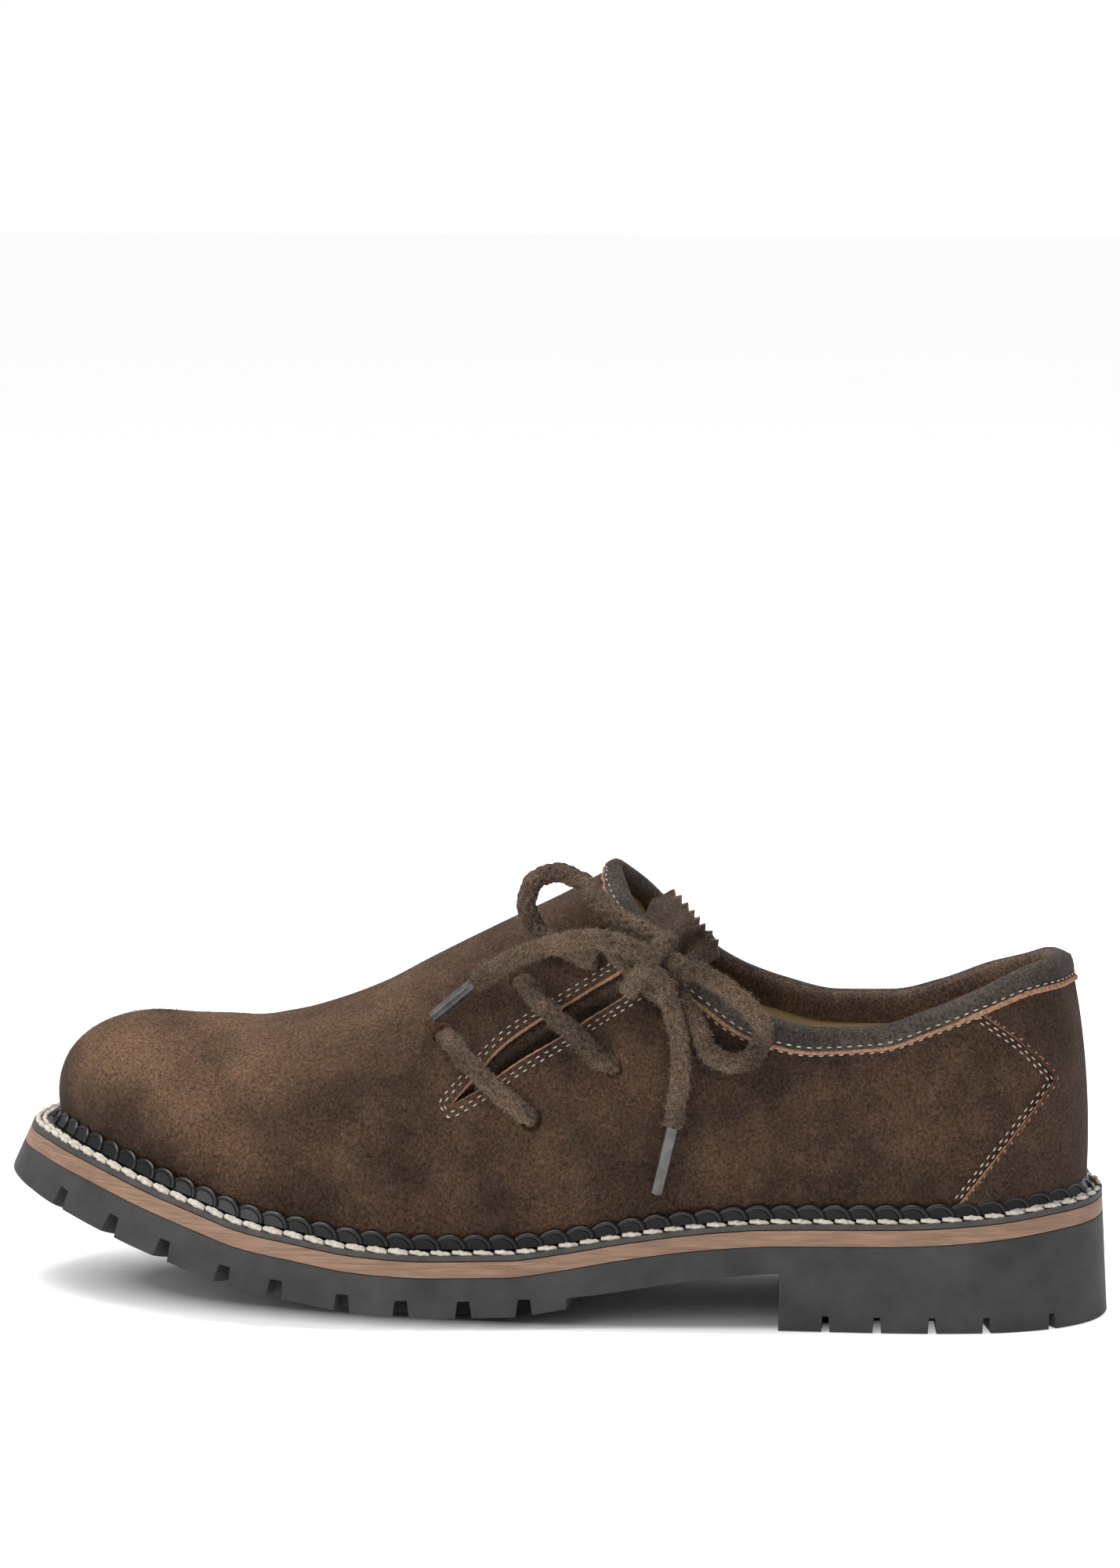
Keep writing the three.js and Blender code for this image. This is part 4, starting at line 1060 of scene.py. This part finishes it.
def make_camera():
    azimuth = elevation = math.radians(VIEW_TURN)
    back = np.array([
        math.sin(azimuth) * math.cos(elevation),
        -math.cos(azimuth) * math.cos(elevation),
        math.sin(elevation),
    ])
    data = bpy.data.cameras.new("camera")
    data.sensor_width = 36
    data.lens = 116.55
    data.clip_start, data.clip_end = 0.05, 60
    camera = bpy.data.objects.new("camera", data)
    bpy.context.scene.collection.objects.link(camera)
    camera.rotation_mode = "QUATERNION"
    camera.location = (np.array(VIEW_AIM) + VIEW_DISTANCE * back) * MM
    camera.rotation_quaternion = Vector(-back).to_track_quat("-Z", "Y")
    bpy.context.scene.camera = camera


def area_light(name, place_at, aim, size, power):
    data = bpy.data.lights.new(name, "AREA")
    data.shape = "RECTANGLE"
    data.size, data.size_y = size
    data.energy = power
    light = bpy.data.objects.new(name, data)
    bpy.context.scene.collection.objects.link(light)
    light.location = place_at
    light.rotation_mode = "QUATERNION"
    light.rotation_quaternion = (Vector(aim) - Vector(place_at)).to_track_quat("-Z", "Y")


def make_light():
    """A white room that lights the shoe softly, with a large light over it and one in front."""
    world = bpy.data.worlds.new("studio")
    world.use_nodes = True
    tree = world.node_tree
    room = tree.nodes["Background"]
    room.inputs["Color"].default_value = (1, 1, 1, 1)
    seen = tree.nodes.new("ShaderNodeLightPath").outputs["Is Camera Ray"]
    strength = tree.nodes.new("ShaderNodeMapRange")
    strength.inputs["To Min"].default_value = WORLD_LIGHT
    strength.inputs["To Max"].default_value = 1.0
    tree.links.new(seen, strength.inputs["Value"])
    tree.links.new(strength.outputs[0], room.inputs["Strength"])
    bpy.context.scene.world = world
    area_light("top", (-0.25, 0.1, 1.5), (0, 0, 0.05), (1.4, 1.0), 26)
    area_light("front", (-0.7, -1.3, 0.9), (0, 0, 0.05), (0.9, 0.9), 6)
    bpy.context.scene.view_settings.view_transform = "Standard"
    bpy.context.scene.view_settings.look = "None"


def floor_paper():
    """White paper that glows away from the shoe, so that only the shadow close to the shoe is dark."""
    s = Shader("floor_paper")
    away = s.mix_of(s.place, "DIVIDE", SHADOW_SIZE)
    away = s.add("ShaderNodeVectorMath", {0: away}, operation="LENGTH").outputs["Value"]
    glow = s.spread(away, 0.66, 0.92, 0, FLOOR_GLOW)
    s.finish(Emission_Color=(1, 1, 1), Emission_Strength=glow)
    return s.finish(Base_Color=(0.86, 0.86, 0.86), Roughness=0.9)


def make_floor():
    corners = [[-6000, -6000], [6000, -6000], [6000, 9000], [-6000, 9000]]
    places = [[x, y, -FLOOR_DROP] for x, y in corners]
    floor = add_mesh("floor", places, [[0, 1, 2, 3]], [floor_paper()])


# Thread
def dashes(name, line, normals, material, size, rise=0.0, lift=0.0, twist=0.0, around=6, rings=7):
    """Stitches along a line, each a short bulging piece of thread. Size: radius, length and pitch."""
    radius, length, pitch = size
    gone = lengths_along(line)
    count = max(1, int((gone[-1] + pitch - length) // pitch))
    starts = np.arange(count) * pitch + (gone[-1] - (count - 1) * pitch - length) / 2
    share = np.linspace(0, 1, rings)
    places = starts[:, None] + share[None, :] * length
    spine = np.stack([np.interp(places, gone, line[:, k]) for k in range(3)], -1)
    top = unit(np.stack([np.interp(places, gone, normals[:, k]) for k in range(3)], -1))
    bulge = np.sin(math.pi * (0.06 + 0.88 * share)) ** 0.45
    tangent = unit(np.gradient(spine, axis=1))
    across = unit(np.cross(tangent, top))
    spine = spine + top * (lift + (share - 0.5) * rise)[None, :, None]
    turn = np.linspace(0, 2 * math.pi, around, endpoint=False)
    ply = 1.0
    if twist:
        ply = 1 + 0.16 * np.cos(2 * turn[None, :] - twist * share[:, None] * 2 * math.pi)
    size = (bulge[:, None] * radius * ply)[None, ..., None]
    ring = across[:, :, None] * np.cos(turn)[:, None] + top[:, :, None] * np.sin(turn)[:, None]
    points = spine[:, :, None] + ring * size
    one = ring_quads(rings, around)
    one += [list(range(around)), list(range((rings - 1) * around, rings * around))]
    faces = []
    for base in range(0, count * rings * around, rings * around):
        faces += [[corner + base for corner in face] for face in one]
    return add_mesh(name, points.reshape(-1, 3), faces, [MATERIALS[material]], sharp=180)


def seam(name, line, normals, length=1.3):
    """A row of fine seam stitches."""
    place(dashes(name, line, normals, "stitch", (0.18, length, SEAM_PITCH)), "lace")


def beside(line, distance):
    """A line drawn from the side, moved to its left."""
    tangent = unit(np.gradient(line, axis=0))
    return line + np.stack([-tangent[:, 1], tangent[:, 0]], -1) * distance


def fuzz(name, points, normals, count, length, material, seed):
    """Short hairs, each a thin triangle."""
    chance = np.random.default_rng(seed)
    picked = chance.integers(0, len(points), count)
    root = points[picked] + chance.normal(0, 0.25, (count, 3))
    lean = unit(normals[picked] + chance.normal(0, 0.55, (count, 3)))
    across = unit(np.cross(lean, chance.normal(0, 1, (count, 3)))) * 0.035
    tip = root + lean * (length * chance.uniform(0.4, 1, count))[:, None]
    corners = np.stack([root - across, root + across, tip], 1).reshape(-1, 3)
    mesh = bpy.data.meshes.new(name)
    mesh.from_pydata((corners * MM).tolist(), [], np.arange(count * 3).reshape(-1, 3).tolist())
    mesh.materials.append(MATERIALS[material])
    obj = bpy.data.objects.new(name, mesh)
    bpy.context.scene.collection.objects.link(obj)
    return obj


# Laces
def rope_radius(gone, turn):
    """Braided wool: two sets of strands crossing each other."""
    climb = gone * (2 * math.pi / 7.6)
    first = np.abs(np.cos(3 * turn + climb)) * (0.75 + 0.25 * np.sin(3 * turn - climb))
    second = np.abs(np.cos(3 * turn - climb + 0.8)) * (0.75 - 0.25 * np.sin(3 * turn + climb))
    woolly = 0.03 * np.sin(5.1 * gone + 3 * turn) * np.sin(2.3 * gone + 1)
    return LACE_RADIUS * (0.7 + 0.36 * np.maximum(first, second) + woolly)


def rope(name, points):
    line = curve_through(points, 0.35)
    obj = tube(name + "_rope", line, rope_radius, 60, [MATERIALS["lace"]])
    place(obj, "lace", name)
    skin, ring = tube_grid(line, rope_radius, 24)
    seed = len(name) * 7 + len(line)
    count = 19 * len(line)
    hairs = fuzz(name + "_fuzz", skin.reshape(-1, 3), ring.reshape(-1, 3), count, FUZZ_LENGTH, "hair", seed)
    place(hairs, "lace")
    return obj, line


def places_of(numbers):
    numbers = np.array(numbers, float)
    return np.stack([x_at(numbers[:, 0]), numbers[:, 1] * BALL_WIDTH, numbers[:, 2] * INSTEP_HEIGHT], -1)


def hole_place(along, height):
    angle, v = spot_on_side(along, height)
    side = np.array([-1.0])
    return surface(side, angle, v)[0], upper_normal(side, angle, v)[0]


def bar_ends(top_along, top_height, low_along, low_height):
    start, up_start = hole_place(top_along, top_height)
    end, up_end = hole_place(low_along, low_height)
    return start, up_start, end, up_end, unit(end - start)


def bar_route(holes):
    start, up_start, end, up_end, across = bar_ends(*holes)
    route = [start - up_start * 6, start - up_start * 0.4 + across * 0.3]
    route.append(start + up_start * 2.4 + across * 3.2)
    shares = np.array([0.3, 0.5, 0.7])
    angle, v = find_on_side(-1, mix(start[0], end[0], shares), mix(start[2], end[2], shares))
    side = np.full_like(angle, -1)
    route += list(rib_at(side, angle, v) + upper_normal(side, angle, v) * LACE_LIFT)
    return route + [end + up_end * 2.4 - across * 3.2, end - up_end * 0.4 - across * 0.3, end - up_end * 6]


def aglet_radius(gone, turn):
    """A plastic tip with six flutes."""
    return 1.62 - 0.09 * np.cos(6 * turn) + 0 * gone


def make_laces():
    for i, holes in enumerate(LACE_HOLES):
        name = f"lace_bar_{i + 1}"
        rope(name, bar_route(holes))
    made = {name: rope(name, places_of(route)) for name, route in LACE_ROUTES.items()}
    for name, (lace, tip_shares) in AGLET_TIPS.items():
        line = made[lace][1]
        tip = places_of([tip_shares])[0]
        heading = unit(line[-1] - line[-6])
        path = curve_through([line[-1] - heading, line[-1] + heading * 2, tip], 0.4)
        obj = tube(name + "_tube", path, aglet_radius, 30, [MATERIALS["aglet"]], 60)
        place(obj, "aglet", name)
    for name, (obj, line) in made.items():
        if name == "lace_knot":
            continue


# Sole
def layer(name, low, high, material):
    """A flat layer of the sole between two heights over the rubber's top."""
    stations = stations_between(HEEL_END, TOE_END, 220)
    along, across = np.meshgrid(stations, np.linspace(-1, 1, 9), indexing="ij")
    return sheet_solid(name, sole_point(along, across, high), sole_point(along, across, low), [material])


def make_sole():
    rubber_material = MATERIALS["rubber"]
    parts = [
        (stations_between(HEEL_END, ARCH_START, 60), heel_depth),
        (stations_between(ARCH_START, TREAD_START, 24), slab_depth),
        (stations_between(TREAD_START, TOE_END, 110), tread_depth),
    ]
    grids = []
    for stations, depth_of in parts:
        along, across = np.meshgrid(stations, np.linspace(-1, 1, 21), indexing="ij")
        grids.append(np.stack([along, across, depth_of(along, across)]))
    along, across, depth = np.concatenate(grids, 1)
    upside = sole_point(along, across, 0)
    downside = sole_point(along, across, -depth)
    outsole = sheet_solid("outsole_rubber", upside, downside, [rubber_material], sharp=30)
    for cutter in tread_cutters(rubber_material):
        carve(outsole, cutter, sharp=30, solver="EXACT")
    place(outsole, "rubber", "outsole")
    midsole = layer("midsole_layer", LAYER_GAP - 0.1, MIDSOLE_TOP, MATERIALS["midsole"])
    place(midsole, "sole_leather", "midsole")
    welt = layer("welt_strip", WELT_BASE, WELT_TOP, MATERIALS["welt"])
    place(welt, "welt_leather", "welt")


def side_groove(side, along, widths, floor, height, material):
    """A cutter for a groove that opens at the sole's side."""
    width, top_width = widths
    edge, outward = rim(np.array([side]), angle_of(np.array([along])), 0.0)
    outward = np.array([outward[0, 0], outward[0, 1], 0])
    tilt = float(tilt_at(along))
    normal = np.array([math.sin(tilt), 0, math.cos(tilt)])
    sideways = unit(np.cross(-outward, normal))
    axes = [sideways, -outward, unit(np.cross(sideways, -outward))]
    centre = np.array([edge[0, 0], edge[0, 1], floor]) + outward * 8 - normal * 4
    return box_cutter(centre, axes, [width, LUG_DEPTH + 9, height + 4], top_width / width, material)


def tread_cutters(material):
    sides = []
    for side in (-1.0, 1.0):
        for along in TREAD_GROOVES:
            floor = sole_point(np.array(along), side, -TREAD_THICKNESS * profile("tread", along))[2]
            sides.append(side_groove(side, along, GROOVE_WIDTHS, floor, LUG_HEIGHT + 0.2, material))
        for along in HEEL_NOTCHES:
            sides.append(side_groove(side, along, NOTCH_WIDTHS, 0.0, HEEL_NOTCH_HEIGHT, material))
    middles = []
    for along in CENTRE_GROOVES:
        low = sole_point(np.array(along), 0.0, -tread_depth(np.array(along), 0.0))[2]
        centre = np.array([float(x_at(along)), -(BALL_WIDTH / 2 - LUG_DEPTH), low - 4])
        sizes = [CENTRE_GROOVE_WIDTH, BALL_WIDTH - 2 * LUG_DEPTH, LUG_HEIGHT + 4]
        middles.append(box_cutter(centre, np.eye(3), sizes, 0.8, material))
    return [join(sides), join(middles)]


def ring_path(inset, height):
    """A closed line round the sole, with its outward and upward directions."""
    turn = np.linspace(0, 2 * math.pi, 1600, endpoint=False)
    side = np.where(turn <= math.pi, -1.0, 1.0)
    angle = np.where(turn <= math.pi, turn, 2 * math.pi - turn)
    spot, outward = rim(side, angle, inset(angle))
    along = (HALF - spot[:, 0]) / SOLE_LENGTH
    points = layer_point(along, spot[:, 1], height)
    tilt = tilt_at(along)
    upward = np.stack([np.sin(tilt), 0 * tilt, np.cos(tilt)], -1)
    outward = np.concatenate([outward, np.zeros((len(outward), 1))], 1)
    return [np.concatenate([grid, grid[:1]]) for grid in (points, outward, upward)]


def make_braid():
    """Half-round links that overlap like scales in the corner between welt and upper."""
    line, outward, upward = ring_path(lambda angle: reach_at(angle) - BRAID_GAP - 1.3, UPPER_BASE + 0.2)
    gone = lengths_along(line)
    count = round(gone[-1] / BRAID_PITCH)
    pitch = gone[-1] / count
    arch = np.linspace(0, math.pi, 15)
    size, around = len(arch), 8
    run, rise = np.cos(arch)[:, None], np.sin(arch)[:, None]
    strand = ring_quads(size, around)
    strand += [list(range(around)), list(range((size - 1) * around, size * around))]
    scale = [list(range(size)), list(range(size, 2 * size))]
    scale += [[i, (i + 1) % size, size + (i + 1) % size, size + i] for i in range(size)]
    vertices, faces = [], []

    def add(points, shape):
        start = sum(len(made) for made in vertices)
        vertices.append(points)
        faces.extend([[corner + start for corner in face] for face in shape])

    for k in range(count):
        places = np.clip(np.array([k * pitch - 1, k * pitch, k * pitch + 1]), 0, gone[-1])
        behind, middle, ahead = at_lengths(line, places)
        tangent = unit(ahead - behind)
        out = np.array([np.interp(k * pitch, gone, outward[:, c]) for c in range(3)])
        top = np.array([np.interp(k * pitch, gone, upward[:, c]) for c in range(3)])
        sign = 1.0 if tangent[0] > 0 else -1.0
        spine = middle + tangent * 3.9 * run + top * 3.0 * rise - out * 0.9 * rise + out * 0.45 * run * sign
        skin, _ = tube_grid(spine, round_radius(BRAID_STRAND), around)
        add(skin.reshape(-1, 3), strand)
        flat = middle + tangent * 3.6 * run + top * 2.7 * rise - out * 0.8 * rise
        add(np.concatenate([flat + out * 0.55, flat - out * 1.6]), scale)
    obj = add_mesh("braid_links", np.concatenate(vertices), faces, [MATERIALS["braid"]], sharp=50)
    place(obj, "braid", "welt_braid")


def make_rope_stitches():
    """Thick two-ply stitches: a row all round the welt's edge, and a second one at the toe and the heel."""
    line, _, upward = ring_path(lambda angle: 0.95 + 0 * angle, WELT_TOP + 0.35)
    size = (0.76, 5.3, WELT_STITCH_PITCH)
    place(dashes("rope_stitches_edge", line, upward, "rope", size, 0.7, 0.15, 2.5, 8, 14), "lace")
    line, _, upward = ring_path(lambda angle: 2.75 + 0 * angle, WELT_TOP + 0.35)
    along = (HALF - line[:, 0]) / SOLE_LENGTH
    toe = np.flatnonzero(along > 0.6)
    heel = np.flatnonzero(along < 0.09)
    heel = heel[np.argsort((heel + len(line) // 2) % len(line))]
    size = (0.72, 5.2, WELT_STITCH_PITCH)
    for name, picked in (("toe", toe), ("heel", heel)):
        stitches = dashes(
            f"rope_stitches_{name}", line[picked], upward[picked], "rope", size, 0.5, 0.1, 2.5, 8, 14
        )
        place(stitches, "lace")


# Upper and what lies on it
def slit_outline():
    """The slit's outline with its long sides smooth and its far end square."""
    return np.concatenate([curve_through(side_points(half), 1.2) for half in (SLIT_EDGE[:8], SLIT_EDGE[8:])])


def make_upper():
    apex = angle_of_nominal(THROAT)
    angles = np.concatenate([np.linspace(0, apex, 110, endpoint=False), np.linspace(apex, math.pi, 151)])
    sides = np.concatenate([-np.ones(len(angles)), np.ones(len(angles) - 2)])
    loop = np.concatenate([angles, angles[-2:0:-1]])
    shares = np.linspace(0, 1, 65) ** 0.8
    angle_grid, share_grid = np.meshgrid(loop, shares, indexing="ij")
    side_grid = sides[:, None].repeat(len(shares), 1)
    outer = surface(side_grid, angle_grid, share_grid)
    inner = surface(side_grid, angle_grid, share_grid, -WALL)
    ridged = nominal_at(loop) >= THROAT - 1e-9
    materials = [MATERIALS["suede"], MATERIALS["lining"], MATERIALS["raw"]]
    upper = sheet_solid("upper_leather", outer, inner, materials, loop=True, open_top=ridged)
    cutters = [side_prism(slit_outline(), -BALL_WIDTH, -5, MATERIALS["raw"])]
    for holes in LACE_HOLES:
        start, up_start, end, up_end, across = bar_ends(*holes)
        for centre, normal, shift in ((start, up_start, -across), (end, up_end, across)):
            line = np.stack([centre + shift * 0.8 + normal * s for s in (-9.0, 9.0)])
            cutters.append(tube("cutter", line, round_radius(LACE_HOLE_RADIUS), 28, [MATERIALS["tongue"]]))
    carve(upper, join(cutters), sharp=40)
    place(upper, "suede", "upper")
    chosen = outer[:, 2:-1].reshape(-1, 3)
    normals = upper_normal(side_grid, angle_grid, share_grid)[:, 2:-1].reshape(-1, 3)
    outside = ~(inside(slit_outline(), chosen[:, 0], chosen[:, 2]) & (chosen[:, 1] < -5))
    nap = fuzz("upper_nap", chosen[outside], normals[outside], NAP_HAIRS, NAP_LENGTH, "nap", 5)
    place(nap, "suede")


def topline_loop(count):
    apex = angle_of_nominal(THROAT)
    ascending = np.linspace(0, apex, count)
    side = np.concatenate([-np.ones(count), np.ones(count - 1)])
    angle = np.concatenate([ascending[::-1], ascending[1:]])
    edges = surface(side, angle, np.ones_like(angle))
    normals = upper_normal(side, angle, np.ones_like(angle))
    following = np.roll(edges, -1, axis=0)
    before = np.roll(edges, 1, axis=0)
    following[-1], before[0] = edges[1], edges[-2]
    downs = unit(np.cross(following - before, normals))
    downs = np.where((downs[:, 0] + downs[:, 2] > 0)[:, None], -downs, downs)
    for _ in range(30):
        for grid in (normals, downs):
            around = np.concatenate([grid[-2:-1], grid, grid[1:2]])
            grid[:] = unit(around[:-2] + around[2:] + 2 * around[1:-1])
    return side, angle, edges, normals, downs


def walk(side, angle, heading, distance):
    """Moves places of the top edge down the surface."""
    v = np.ones_like(angle)
    nudge = 0.004
    for _ in range(4):
        here = rib_at(side, angle, v)
        forward = (rib_at(side, angle + nudge, v) - here) / nudge
        rise = (here - rib_at(side, angle, v - nudge)) / nudge
        ff, fr, rr = (forward * forward).sum(-1), (forward * rise).sum(-1), (rise * rise).sum(-1)
        hf, hr = (heading * forward).sum(-1), (heading * rise).sum(-1)
        scale = distance / 4 / (ff * rr - fr * fr)
        angle = angle + (hf * rr - hr * fr) * scale
        v = np.minimum(1, v + (ff * hr - fr * hf) * scale)
    return angle, v


def band_line(loop, distance, out):
    side, angle, edges, normals, downs = loop
    distance = np.broadcast_to(np.asarray(distance, float), angle.shape)
    if distance.max() <= 0:
        return edges + downs * distance[:, None] + normals * out, normals
    spot_angle, v = walk(side, angle, downs, distance)
    flipped, spot_angle = folded(side, spot_angle)
    return surface(flipped, spot_angle, v, out), upper_normal(flipped, spot_angle, v)


def band_depth(angle):
    return BAND_HEIGHT * topline("band", nominal_at(angle))


def make_collar_band():
    loop = topline_loop(260)
    height = band_depth(loop[1])
    gap, thick = OVERLAY_GAP, BAND_THICKNESS
    facing = FACING_HEIGHT * np.interp(nominal_at(loop[1]), [0.3, 0.37], [0.74, 1])
    section = [
        (height, gap),
        (height, gap + thick * 0.75),
        (height * 0.75, gap + thick * 1.05),
        (height * 0.5, gap + thick * 1.2),
        (height * 0.25, gap + thick * 1.18),
        (0, gap + thick),
        (-gap - thick * 0.75, 0.1),
        (-gap - thick, -WALL / 2),
        (-gap - thick * 0.75, -WALL - 0.1),
        (0, -WALL - gap - thick),
        (facing * 0.35, -WALL - gap - thick),
        (facing * 0.7, -WALL - gap - thick * 0.9),
        (facing, -WALL - gap - thick * 0.6),
        (facing, -WALL - gap),
        (facing * 0.5, -WALL - gap),
        (0, -WALL - gap),
        (-gap, -WALL / 2),
        (0, gap),
        (height * 0.5, gap),
    ]
    rows = np.stack([band_line(loop, distance, out)[0] for distance, out in section], 1)[:-1]
    count, size = rows.shape[:2]
    i, j = np.meshgrid(np.arange(count), np.arange(size), indexing="ij")
    ni, nj = (i + 1) % count, (j + 1) % size
    faces = np.stack([i * size + j, ni * size + j, ni * size + nj, i * size + nj], -1).reshape(-1, 4)
    slots = np.where((j >= 8) & (j <= 15), 1, 0).reshape(-1)
    materials = [MATERIALS["trim"], MATERIALS["facing"], MATERIALS["raw"]]
    band = add_mesh("collar_strip", rows.reshape(-1, 3), faces, materials, slots, sharp=50)
    carve(band, side_prism(slit_outline(), -BALL_WIDTH, -5, MATERIALS["raw"]), sharp=50)
    place(band, "trim_suede", "collar_band")
    over_counter = np.interp(nominal_at(loop[1]), [0.115, 0.13], [1.1, 0])
    edge, normals = band_line(loop, height + 0.35, 0.55)
    edge = edge + normals * over_counter[:, None]
    for number, run in enumerate(outside_runs(edge)):
        raw_edge(f"band_raw_edge_{number}", edge[run], 0.74)
    for name, extra, out in (("upper", -0.95, gap + thick * 1.02), ("lower", 1.35, 0.1)):
        line, normals = band_line(loop, height + extra, out)
        line = line + normals * over_counter[:, None] * (1 if name == "lower" else 0.3)
        for number, run in enumerate(outside_runs(line)):
            seam(f"band_seam_{name}_{number}", line[run], normals[run])


def outside_runs(points):
    """Stretches of a line round the collar that stay out of the slit."""
    hidden = inside(slit_outline(), points[:, 0], points[:, 2]) & (points[:, 1] < 0)
    kept = np.flatnonzero(~hidden)
    return [run for run in np.split(kept, np.flatnonzero(np.diff(kept) > 1) + 1) if len(run) > 4]


def raw_edge(name, line, radius):
    """The pale cut edge of leather, a little ragged."""

    def ragged(gone, turn):
        return radius * (1 + 0.1 * np.sin(4.7 * gone + 2 * turn) + 0.08 * np.sin(11.3 * gone - turn))

    place(tube(name, evenly(line, 0.7), ragged, 10, [MATERIALS["raw"]]), "suede")


def row_beside(edge, distance, which, out):
    """A row beside an edge drawn from the side: its points, normals and shares of the rib."""
    moved = beside(edge, distance)
    angle, v = find_on_side(which, moved[:, 0], moved[:, 1])
    sides = np.full_like(angle, which)
    return surface(sides, angle, v, out), upper_normal(sides, angle, v), v


def make_counter():
    spread = angle_of_nominal(0.2)
    turn = np.linspace(-spread, spread, 150)
    side, angle = np.where(turn < 0, -1.0, 1.0), np.abs(turn)
    low, high = np.full_like(angle, 0.05), 1 - (band_depth(angle) + 0.3) / HEEL_RIB
    share = mix(low[:, None], high[:, None], np.linspace(0, 1, 36)[None, :])
    side_grid, angle_grid = side[:, None].repeat(36, 1), angle[:, None].repeat(36, 1)
    front = surface(side_grid, angle_grid, share, OVERLAY_GAP + COUNTER_THICKNESS)
    back = surface(side_grid, angle_grid, share, 0.05)
    counter = sheet_solid("counter_panel", front, back, [MATERIALS["counter"]])
    edge = curve_through(side_points(COUNTER_EDGE), 1.5)
    behind = side_points([[-0.1, 0.1], [-0.1, 1.1], [0.14, 1.1]])
    cutter = side_prism(np.concatenate([edge, behind]), -BALL_WIDTH, BALL_WIDTH, MATERIALS["raw"])
    carve(counter, cutter, "INTERSECT")
    place(counter, "suede", "heel_counter")
    for name, which in (("laced", -1), ("inner", 1)):
        spot_angle, v = find_on_side(which, edge[:, 0], edge[:, 1])
        sides = np.full_like(spot_angle, which)
        keep = (v > 0.05) & (v < 1 - (band_depth(spot_angle) - 0.8) / HEEL_RIB)
        raw_edge(f"counter_raw_edge_{name}", surface(sides, spot_angle, v, 0.8)[keep], 0.66)
        for row, distance in (("near", -1.5), ("far", -2.5)):
            points, normals, _ = row_beside(edge, distance, which, OVERLAY_GAP + COUNTER_THICKNESS + 0.05)
            seam(f"counter_seam_{name}_{row}", points[keep], normals[keep])


def make_slit_seams():
    """The raw edge round the slit and two rows of stitches outside it."""
    shares = SLIT_EDGE[8:] + SLIT_EDGE[:8]
    edge = curve_through(side_points(shares), 0.8)
    angle, v = find_on_side(-1, edge[:, 0], edge[:, 1])
    keep = v < 0.9
    sides = np.full_like(angle, -1)
    raw_edge("slit_raw_edge", surface(sides, angle, v, -0.75)[keep], 0.62)
    for row, distance in (("near", 1.3), ("far", 2.6)):
        points, normals, v = row_beside(edge, distance, -1, 0.05)
        seam(f"slit_seam_{row}", points[v < 0.93], normals[v < 0.93], 1.25)


def toothed(points):
    made = []
    for a, b in zip(points, points[1:]):
        run = b - a
        length = np.linalg.norm(run)
        count = max(1, round(length / TOOTH_PITCH))
        outwards = np.array([run[1], -run[0]]) / length * TOOTH_DEPTH
        for k in range(count):
            made += [a + run * k / count, a + run * (k + 0.5) / count - outwards]
    return np.array(made + [points[-1]])


def make_tongue():
    start, end = angle_of_nominal(0.3), angle_of_nominal(0.66)
    angles = np.linspace(start, end, 120)
    shares = np.concatenate([np.linspace(0.32, 1, 90), np.linspace(1.02, 1.36, 24)])
    angle_grid, share_grid = np.meshgrid(angles, shares, indexing="ij")
    side_grid = -np.ones_like(angle_grid)
    base = rib_at(side_grid, angle_grid, share_grid)
    for _ in range(30):
        base[1:-1, 62:-1] = (base[:-2, 62:-1] + base[2:, 62:-1] + base[1:-1, 61:-2] + base[1:-1, 63:]) / 4
    normals = unit(np.cross(np.gradient(base, axis=1), np.gradient(base, axis=0)))
    for _ in range(12):
        normals[1:-1, 1:-1] += normals[:-2, 1:-1] + normals[2:, 1:-1] + normals[1:-1, :-2] + normals[1:-1, 2:]
        normals = unit(normals)
    fold = curve_through(side_points(TONGUE_FOLD), 3)
    distance = np.full(base.shape[:2], 1e9)
    above = np.zeros(base.shape[:2])
    for a, b in zip(fold, fold[1:]):
        run = b - a
        offset = np.stack([base[..., 0] - a[0], base[..., 2] - a[1]], -1)
        share = np.clip(offset @ run / (run @ run), 0, 1)
        away = np.linalg.norm(offset - share[..., None] * run, axis=-1)
        sign = np.sign(run[0] * offset[..., 1] - run[1] * offset[..., 0])
        above = np.where(away < distance, sign, above)
        distance = np.minimum(distance, away)
    roll = np.where(above > 0, 1.6 * np.exp(-(((distance - 4) / 3.2) ** 2)), 0)
    out = -WALL - TONGUE_GAP + 0.9 + roll - 2.4 * np.exp(-((distance / 1.5) ** 2))
    front = base + normals * out[..., None]
    back = base + normals * (out - TONGUE_THICKNESS)[..., None]
    tongue = sheet_solid("tongue_leather", front, back, [MATERIALS["tongue"]])
    outline_xz = np.concatenate([side_points(TONGUE_SIDE), toothed(side_points(TONGUE_END))])
    carve(tongue, side_prism(outline_xz, -BALL_WIDTH, 3, MATERIALS["raw_dark"]), "INTERSECT")
    place(tongue, "suede", "tongue")


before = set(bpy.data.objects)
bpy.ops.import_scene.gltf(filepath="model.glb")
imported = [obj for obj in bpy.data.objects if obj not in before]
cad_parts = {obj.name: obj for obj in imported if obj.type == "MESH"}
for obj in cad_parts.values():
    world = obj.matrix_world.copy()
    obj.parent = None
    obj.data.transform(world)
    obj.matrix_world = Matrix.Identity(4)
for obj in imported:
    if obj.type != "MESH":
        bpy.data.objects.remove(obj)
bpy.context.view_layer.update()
make_camera()
make_laces()
make_sole()
make_upper()
make_collar_band()
make_counter()
make_slit_seams()
make_tongue()
make_braid()
make_rope_stitches()
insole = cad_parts["insole"]
insole.data.materials.clear()
insole.data.materials.append(MATERIALS["insole"])
make_light()
make_floor()
